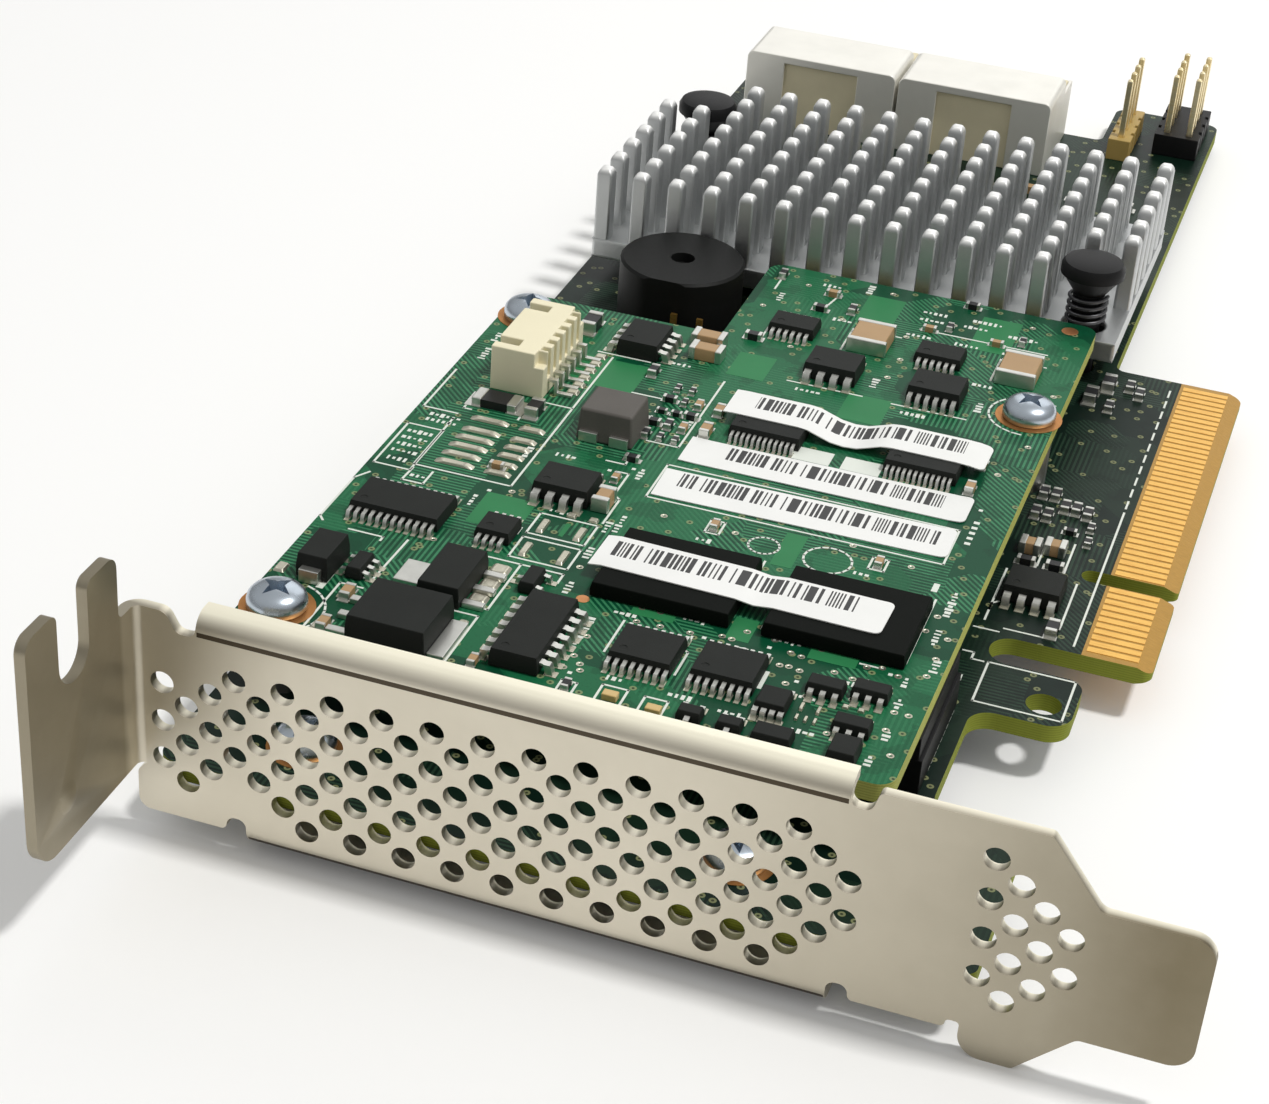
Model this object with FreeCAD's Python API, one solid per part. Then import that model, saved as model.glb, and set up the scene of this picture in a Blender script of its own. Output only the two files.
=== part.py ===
"""Low-profile PCI Express RAID controller card with a cache daughter board.

Frame: the origin is where the centre line of the key notch meets the tip of the edge
connector, on the component face of the main board. +X points out of the card through the
gold contacts, +Y runs from the bracket to the cable sockets, +Z is the component side.
All lengths are in millimetres.
"""
import FreeCAD
import Part
import math
import os

V = FreeCAD.Vector
Z_AXIS = V(0, 0, 1)

# Printed circuit boards
BOARD_T = 1.57            # laminate thickness of both boards
BOARD_TOP_X = -67.6       # long edge away from the contacts
BOARD_BOTTOM_X = -12.45   # long edge that carries the edge connector
FOOT_X = -5.0             # the foot behind the bracket reaches down to here
FOOT_END_Y = -38.0
REAR_Y = 97.5             # edge under the mouths of the cable sockets
REAR_TONGUE_X = -24.5     # the corner beyond this line carries the pin headers
REAR_TONGUE_Y = 108.5
BOARD_CORNER_R = 1.5
ROUND_SIDES = 12          # sides that stand for a round edge on small parts

# Edge connector, eight lanes
CONTACT_PITCH = 1.0
CONTACT_W = 0.70
CONTACT_T = 0.05
CONTACT_BEVEL = 1.3       # bare bevelled tip in front of the contacts
CONTACT_END_X = -5.6
FIRST_CONTACT_Y = -11.5
KEY_CONTACTS = 11         # contacts in front of the key notch
FAR_CONTACTS = 38         # contacts behind it
KEY_W = 1.9
KEY_DEPTH = 8.25
CONNECTOR_FRONT_Y = -12.6
CONNECTOR_REAR_Y = 39.6
EAR_TIP_X = -4.8
EAR_FRONT_Y = -23.9
EAR_REAR_Y = -16.6
EAR_SLOT_X = -13.1
EAR_HOLE_R = 1.45
EAR_HOLE = (-7.3, -21.0)

# Bracket, folded from one sheet
SHEET = 0.86
FACE_Y = -57.15           # outer face of the bracket
FACE_TOP_Z = 14.3
FACE_BOTTOM_Z = -3.93
BOTTOM_FLANGE_Z = -5.1
HEEL_Z = -6.0             # the wide corner beside the tongue
TAB_X = -68.2             # face of the tab that sits on the chassis ledge
TAB_DEPTH = 14.9
TAB_BOTTOM_Z = 0.3
TAB_TOP_Z = 19.6
TAB_SLOT_W = 4.2
TAB_SLOT_BOTTOM_Z = 12.9
TAB_FINGER_W = 4.2
TONGUE_X = 10.4
TONGUE_TOP_Z = 9.0
TONGUE_BOTTOM_Z = -2.0
TONGUE_START_X = 2.6
HEEL_X = -1.4
FLANGE_X0 = -63.4         # the top and bottom flanges start here ...
FLANGE_X1 = -15.0         # ... and end here
BOTTOM_FLANGE_X0 = -59.6
FLANGE_DEPTH = 4.2
BEND_R = 1.5              # outer radius of the flange bends
TAB_BEND_R = 0.6          # inner radius of the tab bend
RELIEF_R = 0.75
HOLE_R = 0.92
HOLE_SIDES = 8
HOLE_PITCH_X = 1.918
HOLE_PITCH_Z = 1.67
HOLE_X0 = -66.18
HOLE_Z0 = 9.54
LUG_W = 8.0
LUG_REACH = 6.0
LUG_X = (-58.0, -24.0)
LUG_SCREW_BACK = 3.2      # from the lug's rear edge to its screw
BRACKET_GAP = 0.4         # between the bracket and the front edge of the main board

# Screws and standoffs
SCREW_R = 1.25
SCREW_HOLE_R = 1.4
SCREW_HEAD_R = 2.6
SCREW_HEAD_H = 1.9
CROSS_L = 2.6             # cross recess of the screws
CROSS_W = 0.55
CROSS_DEPTH = 0.8
SCREW_END = 0.8           # how far the bracket's screws reach past its lugs
STANDOFF_THREAD = 0.4     # share of a standoff that each of its screws fills
STACK_GAP = 5.0           # length of the standoffs between the boards
STANDOFF_R = 2.4

# Daughter board
CACHE_X0 = -66.7
CACHE_X1 = -14.2
CACHE_FRONT_Y = -46.0
CACHE_STEP_Y = 17.0       # rear edge of its left half
CACHE_REAR_Y = 34.2       # rear edge of its right half
CACHE_STEP_X = -46.6
CACHE_SCREWS = ((-63.9, -42.6), (-16.7, 13.6), (-64.0, 12.4))

# Heat sink and its processor
SINK_X0 = -66.0
SINK_X1 = -12.5
SINK_Y0 = 35.6
SINK_Y1 = 64.8
SINK_BASE_T = 2.0
SINK_TOP_Z = 12.2
PIN_COLUMNS = 15
PIN_ROWS = 8
PIN_W = 1.6               # square pins
PIN_EDGE = 0.9            # from the base's edge to the outer pin centres
PIN_CLEAR = 4.2           # no sink pin stands nearer than this to a push pin, along X and Y
CHIP_SIDE = 31.0
CHIP_T = 1.2
LID_SIDE = 24.0
LID_T = 1.1
PAD_T = 0.3
PUSH_PIN_R = 1.55
PUSH_PIN_HEAD_R = 3.2
PUSH_PIN_HEAD_T = 1.5
PUSH_PIN_HEAD_Z = 11.4
PUSH_PIN_HOLE_R = 1.75
PUSH_PIN_CONE_H = 1.9     # under the head
PUSH_PIN_STUB = 1.0       # how far the stem sticks out under the main board
BARB_H = 1.4
BARB_GAP = 0.1            # between the barb and the main board
BARB_LAP = 0.35           # how far the barb reaches past the edge of its hole
BARB_SLIT_W = 0.7
PUSH_PINS = ((-16.2, 39.0), (-62.0, 60.4))
SPRING_R = 2.1
SPRING_GAP = 0.1          # between a spring and its push pin

# Buzzer
BUZZER = (-54.4, 29.1)
BUZZER_R = 6.1
BUZZER_SIDES = 32
BUZZER_H = 7.6
BUZZER_HOLE_R = 1.2
BUZZER_FLAT = 5.7         # from the axis to the flat on its front
BUZZER_RIM = 0.25
BUZZER_HOLE_DEPTH = 1.0
BUZZER_FOOT_X = (-1.8, 5.6)
BUZZER_FOOT_DEPTH = 1.4
BUZZER_FOOT_H = 3.0
BUZZER_PIN_X = (1.4, 4.0)
BUZZER_PIN_W = 0.6
BUZZER_PIN_T = 0.35
BUZZER_PIN_H = 1.7

# Cable sockets
SOCKET_W = 17.5
SOCKET_GAP = 0.4          # between the two shells
SOCKET_X0 = -64.3
SOCKET_FRONT_Y = 83.5
SOCKET_H = 8.6
SHELL_T = 0.4
ROOF_END_Y = 92.5         # the roof stops here; lower side walls run on to the mouth
SIDE_WALL_H = 6.7
SOCKET_LEG_W = 1.6
SOCKET_LEG_SETBACK = 3.0  # from the front and rear of the shell to its legs
BACK_OPENING_W = 8.6      # in the wall behind the housing
CARD_SLOT_W = 12.4
CARD_SLOT_H = 1.6
CARD_SLOT_DEPTH = 3.0
SLOT_CONTACTS = 13
SLOT_PITCH = 0.8
MOUTH_W = 15.2
MOUTH_H = 6.4
MOUTH_DEPTH = 7.2
MOUTH_FLOOR_Z = 1.1

# Pin headers at the rear corner
HEADER_PITCH = 2.54
HEADER_BASE_H = 2.5
HEADER_PIN = 0.64
HEADER_PIN_TOP = 9.4
HEADER_NOTCH = 0.7
PIN_TAIL = 1.1            # how far soldered pins stick out under the board

# name: first pin, columns towards -X, rows towards +Y
HEADERS = {
    "jumper_header": (-14.7, 97.6, 2, 4),
    "light_header": (-21.9, 93.6, 1, 4),
}

# Cable socket of the daughter board
CABLE_SOCKET = (-62.2, -2.4)
CABLE_SOCKET_W = 5.0
CABLE_SOCKET_L = 10.5
CABLE_SOCKET_H = 4.3
CABLE_END_WALL = 1.0      # beside the mouth
CABLE_FLOOR = 0.8         # under and over the mouth
CABLE_MOUTH_DEPTH = 3.7
CABLE_WINDOW_L = 2.2      # latch windows in the top wall
CABLE_WINDOW_W = 1.2
CABLE_STEP = 0.9          # notches at the rear corners
CABLE_STEP_H = 1.3
CABLE_SLOT_W = 0.7        # slots above the terminals
CABLE_SLOT_DEPTH = 0.8
CABLE_SLOT_Z = 1.6
CABLE_PINS = 6
CABLE_PITCH = 1.5
CABLE_PIN_W = 0.5
CABLE_PIN_T = 0.3
CABLE_PIN_Z = 1.2         # height at which a terminal leaves the housing
CABLE_PIN_KNEE = 0.9      # from the housing to the outer face of the riser
CABLE_PIN_REACH = 2.3

# Board-to-board connector
STACK_SOCKET = (-17.4, -30.5)
STACK_L = 13.0
STACK_W = 7.4
STACK_SOCKET_H = 3.1

# Packages
LEAD_REACH = 1.0
LEAD_T = 0.15
FINE_PITCH = 0.9
BODY_LIFT = 0.1           # air under a moulded package
PACKAGE_DRAFT = 0.12
LABEL_T = 0.12

# name: centre x, centre y, size along X, size along Y, height, leads per side, pitch, side axis
LEADED = {
    "port_driver": (-60.8, -25.2, 7.8, 4.4, 1.1, 12, 0.65, "y"),
    "clock_buffer_left": (-35.6, -37.3, 5.0, 4.4, 1.1, 8, 0.65, "y"),
    "clock_buffer_right": (-29.2, -37.0, 5.0, 4.4, 1.1, 8, 0.65, "y"),
    "power_switch": (-49.6, -16.8, 4.9, 3.9, 1.5, 4, 1.27, "y"),
    "supervisor": (-52.4, -25.4, 3.0, 3.0, 1.0, 4, 0.65, "y"),
    "charger": (-44.2, -38.8, 3.9, 9.3, 1.5, 7, 1.27, "x"),
    "gauge": (-52.2, 11.2, 3.9, 4.9, 1.5, 4, 1.27, "x"),
    "bridge_left": (-37.0, 1.4, 6.4, 6.1, 1.1, 12, 0.5, "y"),
    "bridge_right": (-23.1, 1.4, 6.4, 6.1, 1.1, 12, 0.5, "y"),
    "latch_left": (-40.6, 20.8, 4.4, 3.0, 1.0, 6, 0.65, "y"),
    "latch_right": (-26.6, 20.9, 4.4, 3.0, 1.0, 6, 0.65, "y"),
    "driver_left": (-34.9, 13.9, 4.9, 3.9, 1.5, 4, 1.27, "y"),
    "driver_right": (-25.2, 13.7, 4.9, 3.9, 1.5, 6, 0.8, "y"),
}
MAIN_FLASH = (-11.4, -5.2, 4.9, 3.9, 1.5, 4, 1.27, "y")

# centre x, centre y, size along X, size along Y, height
SMALL_PACKAGES = (
    (-63.1, -35.9, 2.7, 4.4, 2.1), (-60.2, -35.3, 1.4, 2.9, 1.0), (-47.1, -31.6, 1.4, 2.9, 1.0),
    (-21.8, -36.3, 2.9, 1.6, 1.0), (-18.5, -35.5, 2.9, 1.6, 1.0), (-24.9, -39.8, 2.4, 2.6, 1.0),
    (-30.1, -43.8, 1.9, 1.3, 0.9), (-27.0, -44.0, 1.9, 1.3, 0.9), (-23.7, -44.1, 3.0, 1.8, 1.0),
    (-18.7, -40.4, 2.9, 1.6, 1.0), (-18.4, -43.9, 2.2, 2.6, 1.2),
)
CAPACITORS = (
    (-46.1, -17.5, 1.4, 2.4, 1.3), (-33.3, 21.2, 3.6, 4.4, 1.4), (-19.2, 21.0, 3.6, 4.6, 1.4),
    (-47.0, 14.4, 3.0, 1.7, 1.2), (-46.4, 11.8, 3.0, 1.7, 1.2),
)
REGULATOR_WIDE = (-52.8, -34.2, 3.6, 6.4, 1.8)
REGULATOR_DEEP = (-54.0, -41.9, 6.5, 6.1, 2.3)
# package, side of its solder tab, the tab's length and width
REGULATOR_TABS = ((REGULATOR_WIDE, -1, 2.6, 3.2), (REGULATOR_DEEP, 1, 1.4, 5.2))
REGULATOR_LEGS = 3
REGULATOR_LEG_PITCH = 2.3
REGULATOR_LEG_L = 1.8
REGULATOR_LEG_W = 0.7
REGULATOR_METAL_T = 0.5
POWER_INDUCTOR = (-49.6, -5.2)
INDUCTOR_SIZE = (5.2, 5.0, 3.0)
INDUCTOR_DRAFT = 0.25
LIGHTS = ((-36.3, -43.8), (-32.8, -44.2))
LIGHT_SIZE = (1.2, 0.8, 0.6)
MAIN_CAPACITORS = ((-13.2, 1.9, 1.8, 1.5, 1.1), (-11.1, 2.4, 1.8, 1.5, 1.1))
FLASH_CHIPS = ((-36.8, -26.4, 11.4, 9.4, 1.2), (-22.8, -26.3, 11.4, 9.4, 1.2))
MEMORY_SIZE = (9.0, 11.0, 1.1)
MEMORY_PLACES = tuple((x, y) for x in (-58.0, -46.5, -35.0) for y in (-22.0, 0.0))

# Paper labels
LABEL_X0 = -43.4
LABEL_X1 = -17.6
# front edge, rear edge of the labels that lie flat on the board
FLAT_LABELS = ((-13.6, -9.0), (-7.4, -3.0))
FLASH_LABEL_Y = (-28.6, -23.8)
FLASH_LABEL_DIP = 0.25    # sag between its packages
BRIDGE_LABEL_Y = (0.6, 4.4)
BRIDGE_LABEL_DIP = 0.8
LABEL_LAP = 1.2           # how far a draped label runs on past its packages

# Values that follow from the ones above
LOWER_FACE = -BOARD_T
CACHE_Z0 = STACK_GAP
CACHE_Z1 = CACHE_Z0 + BOARD_T
BOARD_FRONT_Y = FACE_Y + SHEET + BRACKET_GAP
LUG_REAR_Y = FACE_Y + FLANGE_DEPTH + LUG_REACH
LUG_SCREW_Y = LUG_REAR_Y - LUG_SCREW_BACK
SINK_BASE_Z = CHIP_T + LID_T + PAD_T
CARD_SLOT_Z = MOUTH_FLOOR_Z + 2.4
SINK_CENTRE = ((SINK_X0 + SINK_X1) / 2, (SINK_Y0 + SINK_Y1) / 2)
SOCKET_XS = tuple(SOCKET_X0 + (SOCKET_W + SOCKET_GAP) * n for n in range(2))
SOCKET_REAR_Y = REAR_Y - 0.3
HOUSING_REAR_Y = REAR_Y - 0.5


# ---------------------------------------------------------------- helpers

def box(x0, y0, z0, x1, y1, z1):
    return Part.makeBox(x1 - x0, y1 - y0, z1 - z0, V(x0, y0, z0))


def block(cx, cy, z0, dx, dy, dz):
    """Box centred on (cx, cy) that stands on z0."""
    return Part.makeBox(dx, dy, dz, V(cx - dx / 2, cy - dy / 2, z0))


def post(cx, cy, z0, r, h):
    return Part.makeCylinder(r, h, V(cx, cy, z0), Z_AXIS)


def rod(cx, cy, z0, r, h, sides=ROUND_SIDES):
    """Upright prism with as many sides as a small round part needs to read as round."""
    angles = [2 * math.pi * (n + 0.5) / sides for n in range(sides)]
    ring = [V(cx + r * math.cos(a), cy + r * math.sin(a), z0) for a in angles]
    return Part.Face(Part.makePolygon(ring + ring[:1])).extrude(V(0, 0, h))


def frustum(low, high):
    """Solid with flat sides between two rings that have as many corners, low ring first."""
    count = len(low)
    faces = [Part.Face(Part.makePolygon([low[n], low[n - count + 1], high[n - count + 1], high[n],
                                         low[n]])) for n in range(count)]
    faces += [Part.Face(Part.makePolygon(ring + ring[:1])) for ring in (low, high)]
    solid = Part.makeSolid(Part.makeShell(faces))
    if solid.Volume < 0:
        solid.reverse()
    return solid


def spread(cx, cy, start, end, sides=ROUND_SIDES):
    """Upright many-sided cone between two (height, radius) ends."""
    angles = [2 * math.pi * (n + 0.5) / sides for n in range(sides)]
    return frustum(*[[V(cx + r * math.cos(a), cy + r * math.sin(a), z) for a in angles]
                     for z, r in (start, end)])


def merge(shapes):
    """One solid from overlapping or touching shapes."""
    first, rest = shapes[0], shapes[1:]
    return first.fuse(rest).removeSplitter() if rest else first


def rounded_wire(corners, place):
    """Closed wire through (u, v, radius) corners, each corner an arc of its radius."""
    points = [V(u, v, 0) for u, v, r in corners]
    count = len(points)
    edges, ends = [], []
    for i, (u, v, r) in enumerate(corners):
        here, before, after = points[i], points[i - 1], points[(i + 1) % count]
        a = (before - here).normalize()
        b = (after - here).normalize()
        half = a.getAngle(b) / 2
        if r <= 0:
            ends.append((here, here, None))
            continue
        run = r / math.tan(half)
        middle = (a + b).normalize() * (r / math.sin(half))
        peak = here + middle - (a + b).normalize() * r
        ends.append((here + a * run, here + b * run, peak))
    for i in range(count):
        start, stop, peak = ends[i]
        if peak is not None:
            edges.append(Part.Arc(place(start), place(peak), place(stop)).toShape())
        following = ends[(i + 1) % count][0]
        if (following - stop).Length > 1e-6:
            edges.append(Part.LineSegment(place(stop), place(following)).toShape())
    return Part.Wire(edges)


def prism_z(corners, z0, height):
    """Rounded outline in XY, extruded upwards."""
    wire = rounded_wire(corners, lambda p: V(p.x, p.y, z0))
    return Part.Face(wire).extrude(V(0, 0, height))


def prism_y(corners, y0, depth):
    """Rounded outline in XZ, extruded along +Y."""
    wire = rounded_wire(corners, lambda p: V(p.x, y0, p.y))
    return Part.Face(wire).extrude(V(0, depth, 0))


def prism_x(corners, x0, length):
    """Rounded outline in YZ, extruded along +X."""
    wire = rounded_wire(corners, lambda p: V(x0, p.x, p.y))
    return Part.Face(wire).extrude(V(length, 0, 0))


def save(name, shapes):
    """Write one node as a STEP file; a list becomes a group of separate solids."""
    shape = Part.makeCompound(shapes) if isinstance(shapes, list) else shapes
    shape.exportStep(os.path.join("parts", name + ".step"))


# ---------------------------------------------------------------- main board

def push_pin_holes(z0, height):
    return [rod(x, y, z0, PUSH_PIN_HOLE_R, height) for x, y in PUSH_PINS]


def main_board():
    """Laminate with the edge connector, the retention ear and the header corner."""
    key0, key1 = -KEY_W / 2, KEY_W / 2
    key_r = KEY_W / 2 - 0.01
    slot_r = (CONNECTOR_FRONT_Y - EAR_REAR_Y) / 2 - 0.1
    outline = [
        (BOARD_TOP_X, BOARD_FRONT_Y, BOARD_CORNER_R), (FOOT_X, BOARD_FRONT_Y, 1.0),
        (FOOT_X, FOOT_END_Y, 1.0), (BOARD_BOTTOM_X, FOOT_END_Y, 1.5),
        (BOARD_BOTTOM_X, EAR_FRONT_Y, 2.0), (EAR_TIP_X, EAR_FRONT_Y, 2.0),
        (EAR_TIP_X, EAR_REAR_Y, 1.5), (EAR_SLOT_X, EAR_REAR_Y, slot_r),
        (EAR_SLOT_X, CONNECTOR_FRONT_Y, slot_r), (0, CONNECTOR_FRONT_Y, 0.8),
        (0, key0, 0.4), (-KEY_DEPTH, key0, key_r), (-KEY_DEPTH, key1, key_r), (0, key1, 0.4),
        (0, CONNECTOR_REAR_Y, 0.8), (BOARD_BOTTOM_X, CONNECTOR_REAR_Y, 1.0),
        (BOARD_BOTTOM_X, REAR_TONGUE_Y, BOARD_CORNER_R),
        (REAR_TONGUE_X, REAR_TONGUE_Y, BOARD_CORNER_R), (REAR_TONGUE_X, REAR_Y, 1.0),
        (BOARD_TOP_X, REAR_Y, BOARD_CORNER_R),
    ]
    board = prism_z(outline, LOWER_FACE, BOARD_T)
    bevel = CONTACT_BEVEL * math.tan(math.radians(20))
    y0, length = CONNECTOR_FRONT_Y - 1, CONNECTOR_REAR_Y - CONNECTOR_FRONT_Y + 2
    for z, sign in ((0, 1), (LOWER_FACE, -1)):
        wedge = [V(0.1, y0, z + sign * 0.1), V(-CONTACT_BEVEL, y0, z + sign * 0.1),
                 V(-CONTACT_BEVEL, y0, z), V(0, y0, z - sign * bevel), V(0.1, y0, z - sign * bevel)]
        board = board.cut(Part.Face(Part.makePolygon(wedge + wedge[:1])).extrude(V(0, length, 0)))
    holes = push_pin_holes(LOWER_FACE, BOARD_T)
    holes.append(post(EAR_HOLE[0], EAR_HOLE[1], LOWER_FACE, EAR_HOLE_R, BOARD_T))
    holes += [rod(x, y, LOWER_FACE, SCREW_HOLE_R, BOARD_T) for x, y in CACHE_SCREWS]
    holes += [rod(x, LUG_SCREW_Y, LOWER_FACE, SCREW_HOLE_R, BOARD_T) for x in LUG_X]
    holes += through_pins(LOWER_FACE, BOARD_T)
    return board.cut(Part.makeCompound(holes))


def edge_contacts():
    """Gold contacts on both faces; three on the solder side are shorter than the rest."""
    shapes = []
    for face, z0 in ((0, 0), (1, LOWER_FACE - CONTACT_T)):
        for n in range(KEY_CONTACTS + FAR_CONTACTS):
            gap = KEY_W + CONTACT_PITCH + 0.1 if n >= KEY_CONTACTS else CONTACT_PITCH
            y = FIRST_CONTACT_Y + CONTACT_PITCH * n + gap - CONTACT_PITCH
            short = face == 1 and n + 1 in (17, 31, 48)
            x1 = -CONTACT_BEVEL - (0.9 if short else 0)
            shapes.append(box(CONTACT_END_X, y - CONTACT_W / 2, z0, x1, y + CONTACT_W / 2,
                              z0 + CONTACT_T))
    return shapes


# ---------------------------------------------------------------- bracket

def perforation():
    """Hole centres: a staggered field in the middle, ragged ends and a smaller field."""
    spans = {0: (1, 5), 1: (2, 6), 2: (1, 5), 3: (0, 4), 4: (1, 5), 26: (1, 5), 27: (2, 4),
             32: (-1, 5), 33: (0, 6), 34: (1, 5), 35: (2, 4)}
    for column in range(5, 26):
        spans[column] = (0, 6) if column % 2 else (1, 7)
    for column, (first, last) in spans.items():
        for level in range(first, last + 1, 2):
            yield HOLE_X0 + HOLE_PITCH_X * column, HOLE_Z0 - HOLE_PITCH_Z * level


def face_plate():
    """Flat face with its relief notches, heel and tongue."""
    top, low, r = FACE_TOP_Z - 0.2, BOTTOM_FLANGE_Z + BEND_R, RELIEF_R
    left = TAB_X + TAB_BEND_R
    outline = [
        (left, TAB_BOTTOM_Z, 0), (TAB_X - 0.2, TAB_BOTTOM_Z - 0.8, 0.8),
        (TAB_X - 0.2, FACE_BOTTOM_Z, 1.0), (BOTTOM_FLANGE_X0 - 2.2 * r, FACE_BOTTOM_Z, 0.5),
        (BOTTOM_FLANGE_X0 - 2 * r, FACE_BOTTOM_Z + 1.6 * r, r - 0.05),
        (BOTTOM_FLANGE_X0, FACE_BOTTOM_Z + 1.6 * r, r - 0.05), (BOTTOM_FLANGE_X0, low, 0),
        (FLANGE_X1, low, 0), (FLANGE_X1, FACE_BOTTOM_Z + 1.6 * r, r - 0.05),
        (FLANGE_X1 + 2 * r, FACE_BOTTOM_Z + 1.6 * r, r - 0.05),
        (FLANGE_X1 + 2.2 * r, FACE_BOTTOM_Z, 0.4), (HEEL_X - 5.0, FACE_BOTTOM_Z, 0.4),
        (HEEL_X - 5.0, FACE_BOTTOM_Z + 0.7, 0.3), (HEEL_X - 4.0, FACE_BOTTOM_Z + 0.7, 0.3),
        (HEEL_X - 4.0, HEEL_Z, 1.8), (HEEL_X, HEEL_Z, 0.5), (TONGUE_START_X, TONGUE_BOTTOM_Z, 0.8),
        (TONGUE_X, TONGUE_BOTTOM_Z, 1.8), (TONGUE_X, TONGUE_TOP_Z, 1.8),
        (TONGUE_START_X, TONGUE_TOP_Z, 1.0), (HEEL_X, top, 0.5),
        (FLANGE_X1 + 2.6 * r, top, 0.4), (FLANGE_X1 + 2 * r, top - 2.2 * r, r - 0.05),
        (FLANGE_X1, top - 2.2 * r, r - 0.05), (FLANGE_X1, FACE_TOP_Z - BEND_R, 0),
        (FLANGE_X0, FACE_TOP_Z - BEND_R, 0), (FLANGE_X0, top - 2.2 * r, r - 0.05),
        (FLANGE_X0 - 2 * r, top - 2.2 * r, r - 0.05), (FLANGE_X0 - 3.2 * r, top, 1.0),
        (left, top, 0),
    ]
    return prism_y(outline, FACE_Y, SHEET)


def flange(x0, x1, z_outer, up):
    """Quarter bend and flat flange that runs back from the face; up is 1 or -1."""
    centre_z = z_outer - up * BEND_R
    inner = BEND_R - SHEET
    cy = FACE_Y + BEND_R
    s = math.sin(math.radians(45))
    back = FACE_Y + FLANGE_DEPTH

    def at(y, z):
        return V(x0, y, z)

    outer_arc = Part.Arc(at(FACE_Y, centre_z), at(cy - BEND_R * s, centre_z + up * BEND_R * s),
                         at(cy, z_outer)).toShape()
    inner_arc = Part.Arc(at(cy, z_outer - up * SHEET), at(cy - inner * s, centre_z + up * inner * s),
                         at(FACE_Y + SHEET, centre_z)).toShape()
    lines = [(at(cy, z_outer), at(back, z_outer)), (at(back, z_outer), at(back, z_outer - up * SHEET)),
             (at(back, z_outer - up * SHEET), at(cy, z_outer - up * SHEET)),
             (at(FACE_Y + SHEET, centre_z), at(FACE_Y, centre_z))]
    sides = [Part.LineSegment(a, b).toShape() for a, b in lines]
    wire = Part.Wire([outer_arc, sides[0], sides[1], sides[2], inner_arc, sides[3]])
    return Part.Face(wire).extrude(V(x1 - x0, 0, 0))


def tab():
    """Chassis tab: quarter bend at the end of the face, then a plate with the screw slot."""
    outer_r = TAB_BEND_R + SHEET
    cx, cy = TAB_X + TAB_BEND_R, FACE_Y - TAB_BEND_R
    ring = Part.makeCylinder(outer_r, FACE_TOP_Z - 0.2 - TAB_BOTTOM_Z, V(cx, cy, TAB_BOTTOM_Z))
    ring = ring.cut(Part.makeCylinder(TAB_BEND_R, FACE_TOP_Z, V(cx, cy, TAB_BOTTOM_Z)))
    ring = ring.common(box(cx - outer_r, cy, TAB_BOTTOM_Z, cx, cy + outer_r, FACE_TOP_Z))
    end = FACE_Y - TAB_DEPTH
    slot0 = end + TAB_FINGER_W
    slot1 = slot0 + TAB_SLOT_W
    finger = slot1 + TAB_FINGER_W
    slot_r = TAB_SLOT_W / 2 - 0.01
    outline = [
        (cy, TAB_BOTTOM_Z, 0), (end, TAB_BOTTOM_Z, 2.5), (end, TAB_TOP_Z, 1.2),
        (slot0, TAB_TOP_Z, 0.8), (slot0, TAB_SLOT_BOTTOM_Z, slot_r),
        (slot1, TAB_SLOT_BOTTOM_Z, slot_r), (slot1, TAB_TOP_Z, 0.8), (finger, TAB_TOP_Z, 1.2),
        (finger, FACE_TOP_Z - 0.2, 0.6), (cy, FACE_TOP_Z - 0.2, 0),
    ]
    plate = prism_x(outline, TAB_X - SHEET, SHEET)
    dimple = Part.makeSphere(2.4, V(TAB_X - 2.0, end + 4.4, TAB_BOTTOM_Z + 3.8))
    dimple = dimple.common(box(TAB_X - 0.01, end, TAB_BOTTOM_Z, TAB_X + 3, cy, TAB_TOP_Z))
    return merge([ring, plate, dimple])


def lug(x):
    """Board lug: climbs from the bottom flange and lies under the board, drilled for a screw."""
    y0, y1 = FACE_Y + FLANGE_DEPTH - 0.6, FACE_Y + FLANGE_DEPTH + 1.6
    low, high = BOTTOM_FLANGE_Z, LOWER_FACE - SHEET
    profile = [(y0, low, 0), (y0 + 1.1, low, 0.6), (y1, high, 0.6), (LUG_REAR_Y, high, 0),
               (LUG_REAR_Y, high + SHEET, 0), (y1 - 0.5, high + SHEET, 0.6),
               (y0 + 0.6, low + SHEET, 0.6), (y0, low + SHEET, 0)]
    plate = prism_x(profile, x - LUG_W / 2, LUG_W)
    return plate.cut(rod(x, LUG_SCREW_Y, low, SCREW_R, LOWER_FACE - low))


def punch(x, z):
    """Cutter for one small hole in the face, with enough sides to read as round."""
    angles = [2 * math.pi * n / HOLE_SIDES for n in range(HOLE_SIDES)]
    ring = [V(x + HOLE_R * math.cos(a), FACE_Y - 0.5, z + HOLE_R * math.sin(a)) for a in angles]
    return Part.Face(Part.makePolygon(ring + ring[:1])).extrude(V(0, SHEET + 1, 0))


def bracket():
    """One folded sheet: perforated face, two flanges, the chassis tab and two board lugs."""
    holes = [punch(x, z) for x, z in perforation()]
    pieces = [face_plate().cut(Part.makeCompound(holes)),
              flange(FLANGE_X0, FLANGE_X1, FACE_TOP_Z, 1),
              flange(BOTTOM_FLANGE_X0, FLANGE_X1, BOTTOM_FLANGE_Z, -1), tab()]
    return merge(pieces + [lug(x) for x in LUG_X])


# ---------------------------------------------------------------- screws and standoffs

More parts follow.
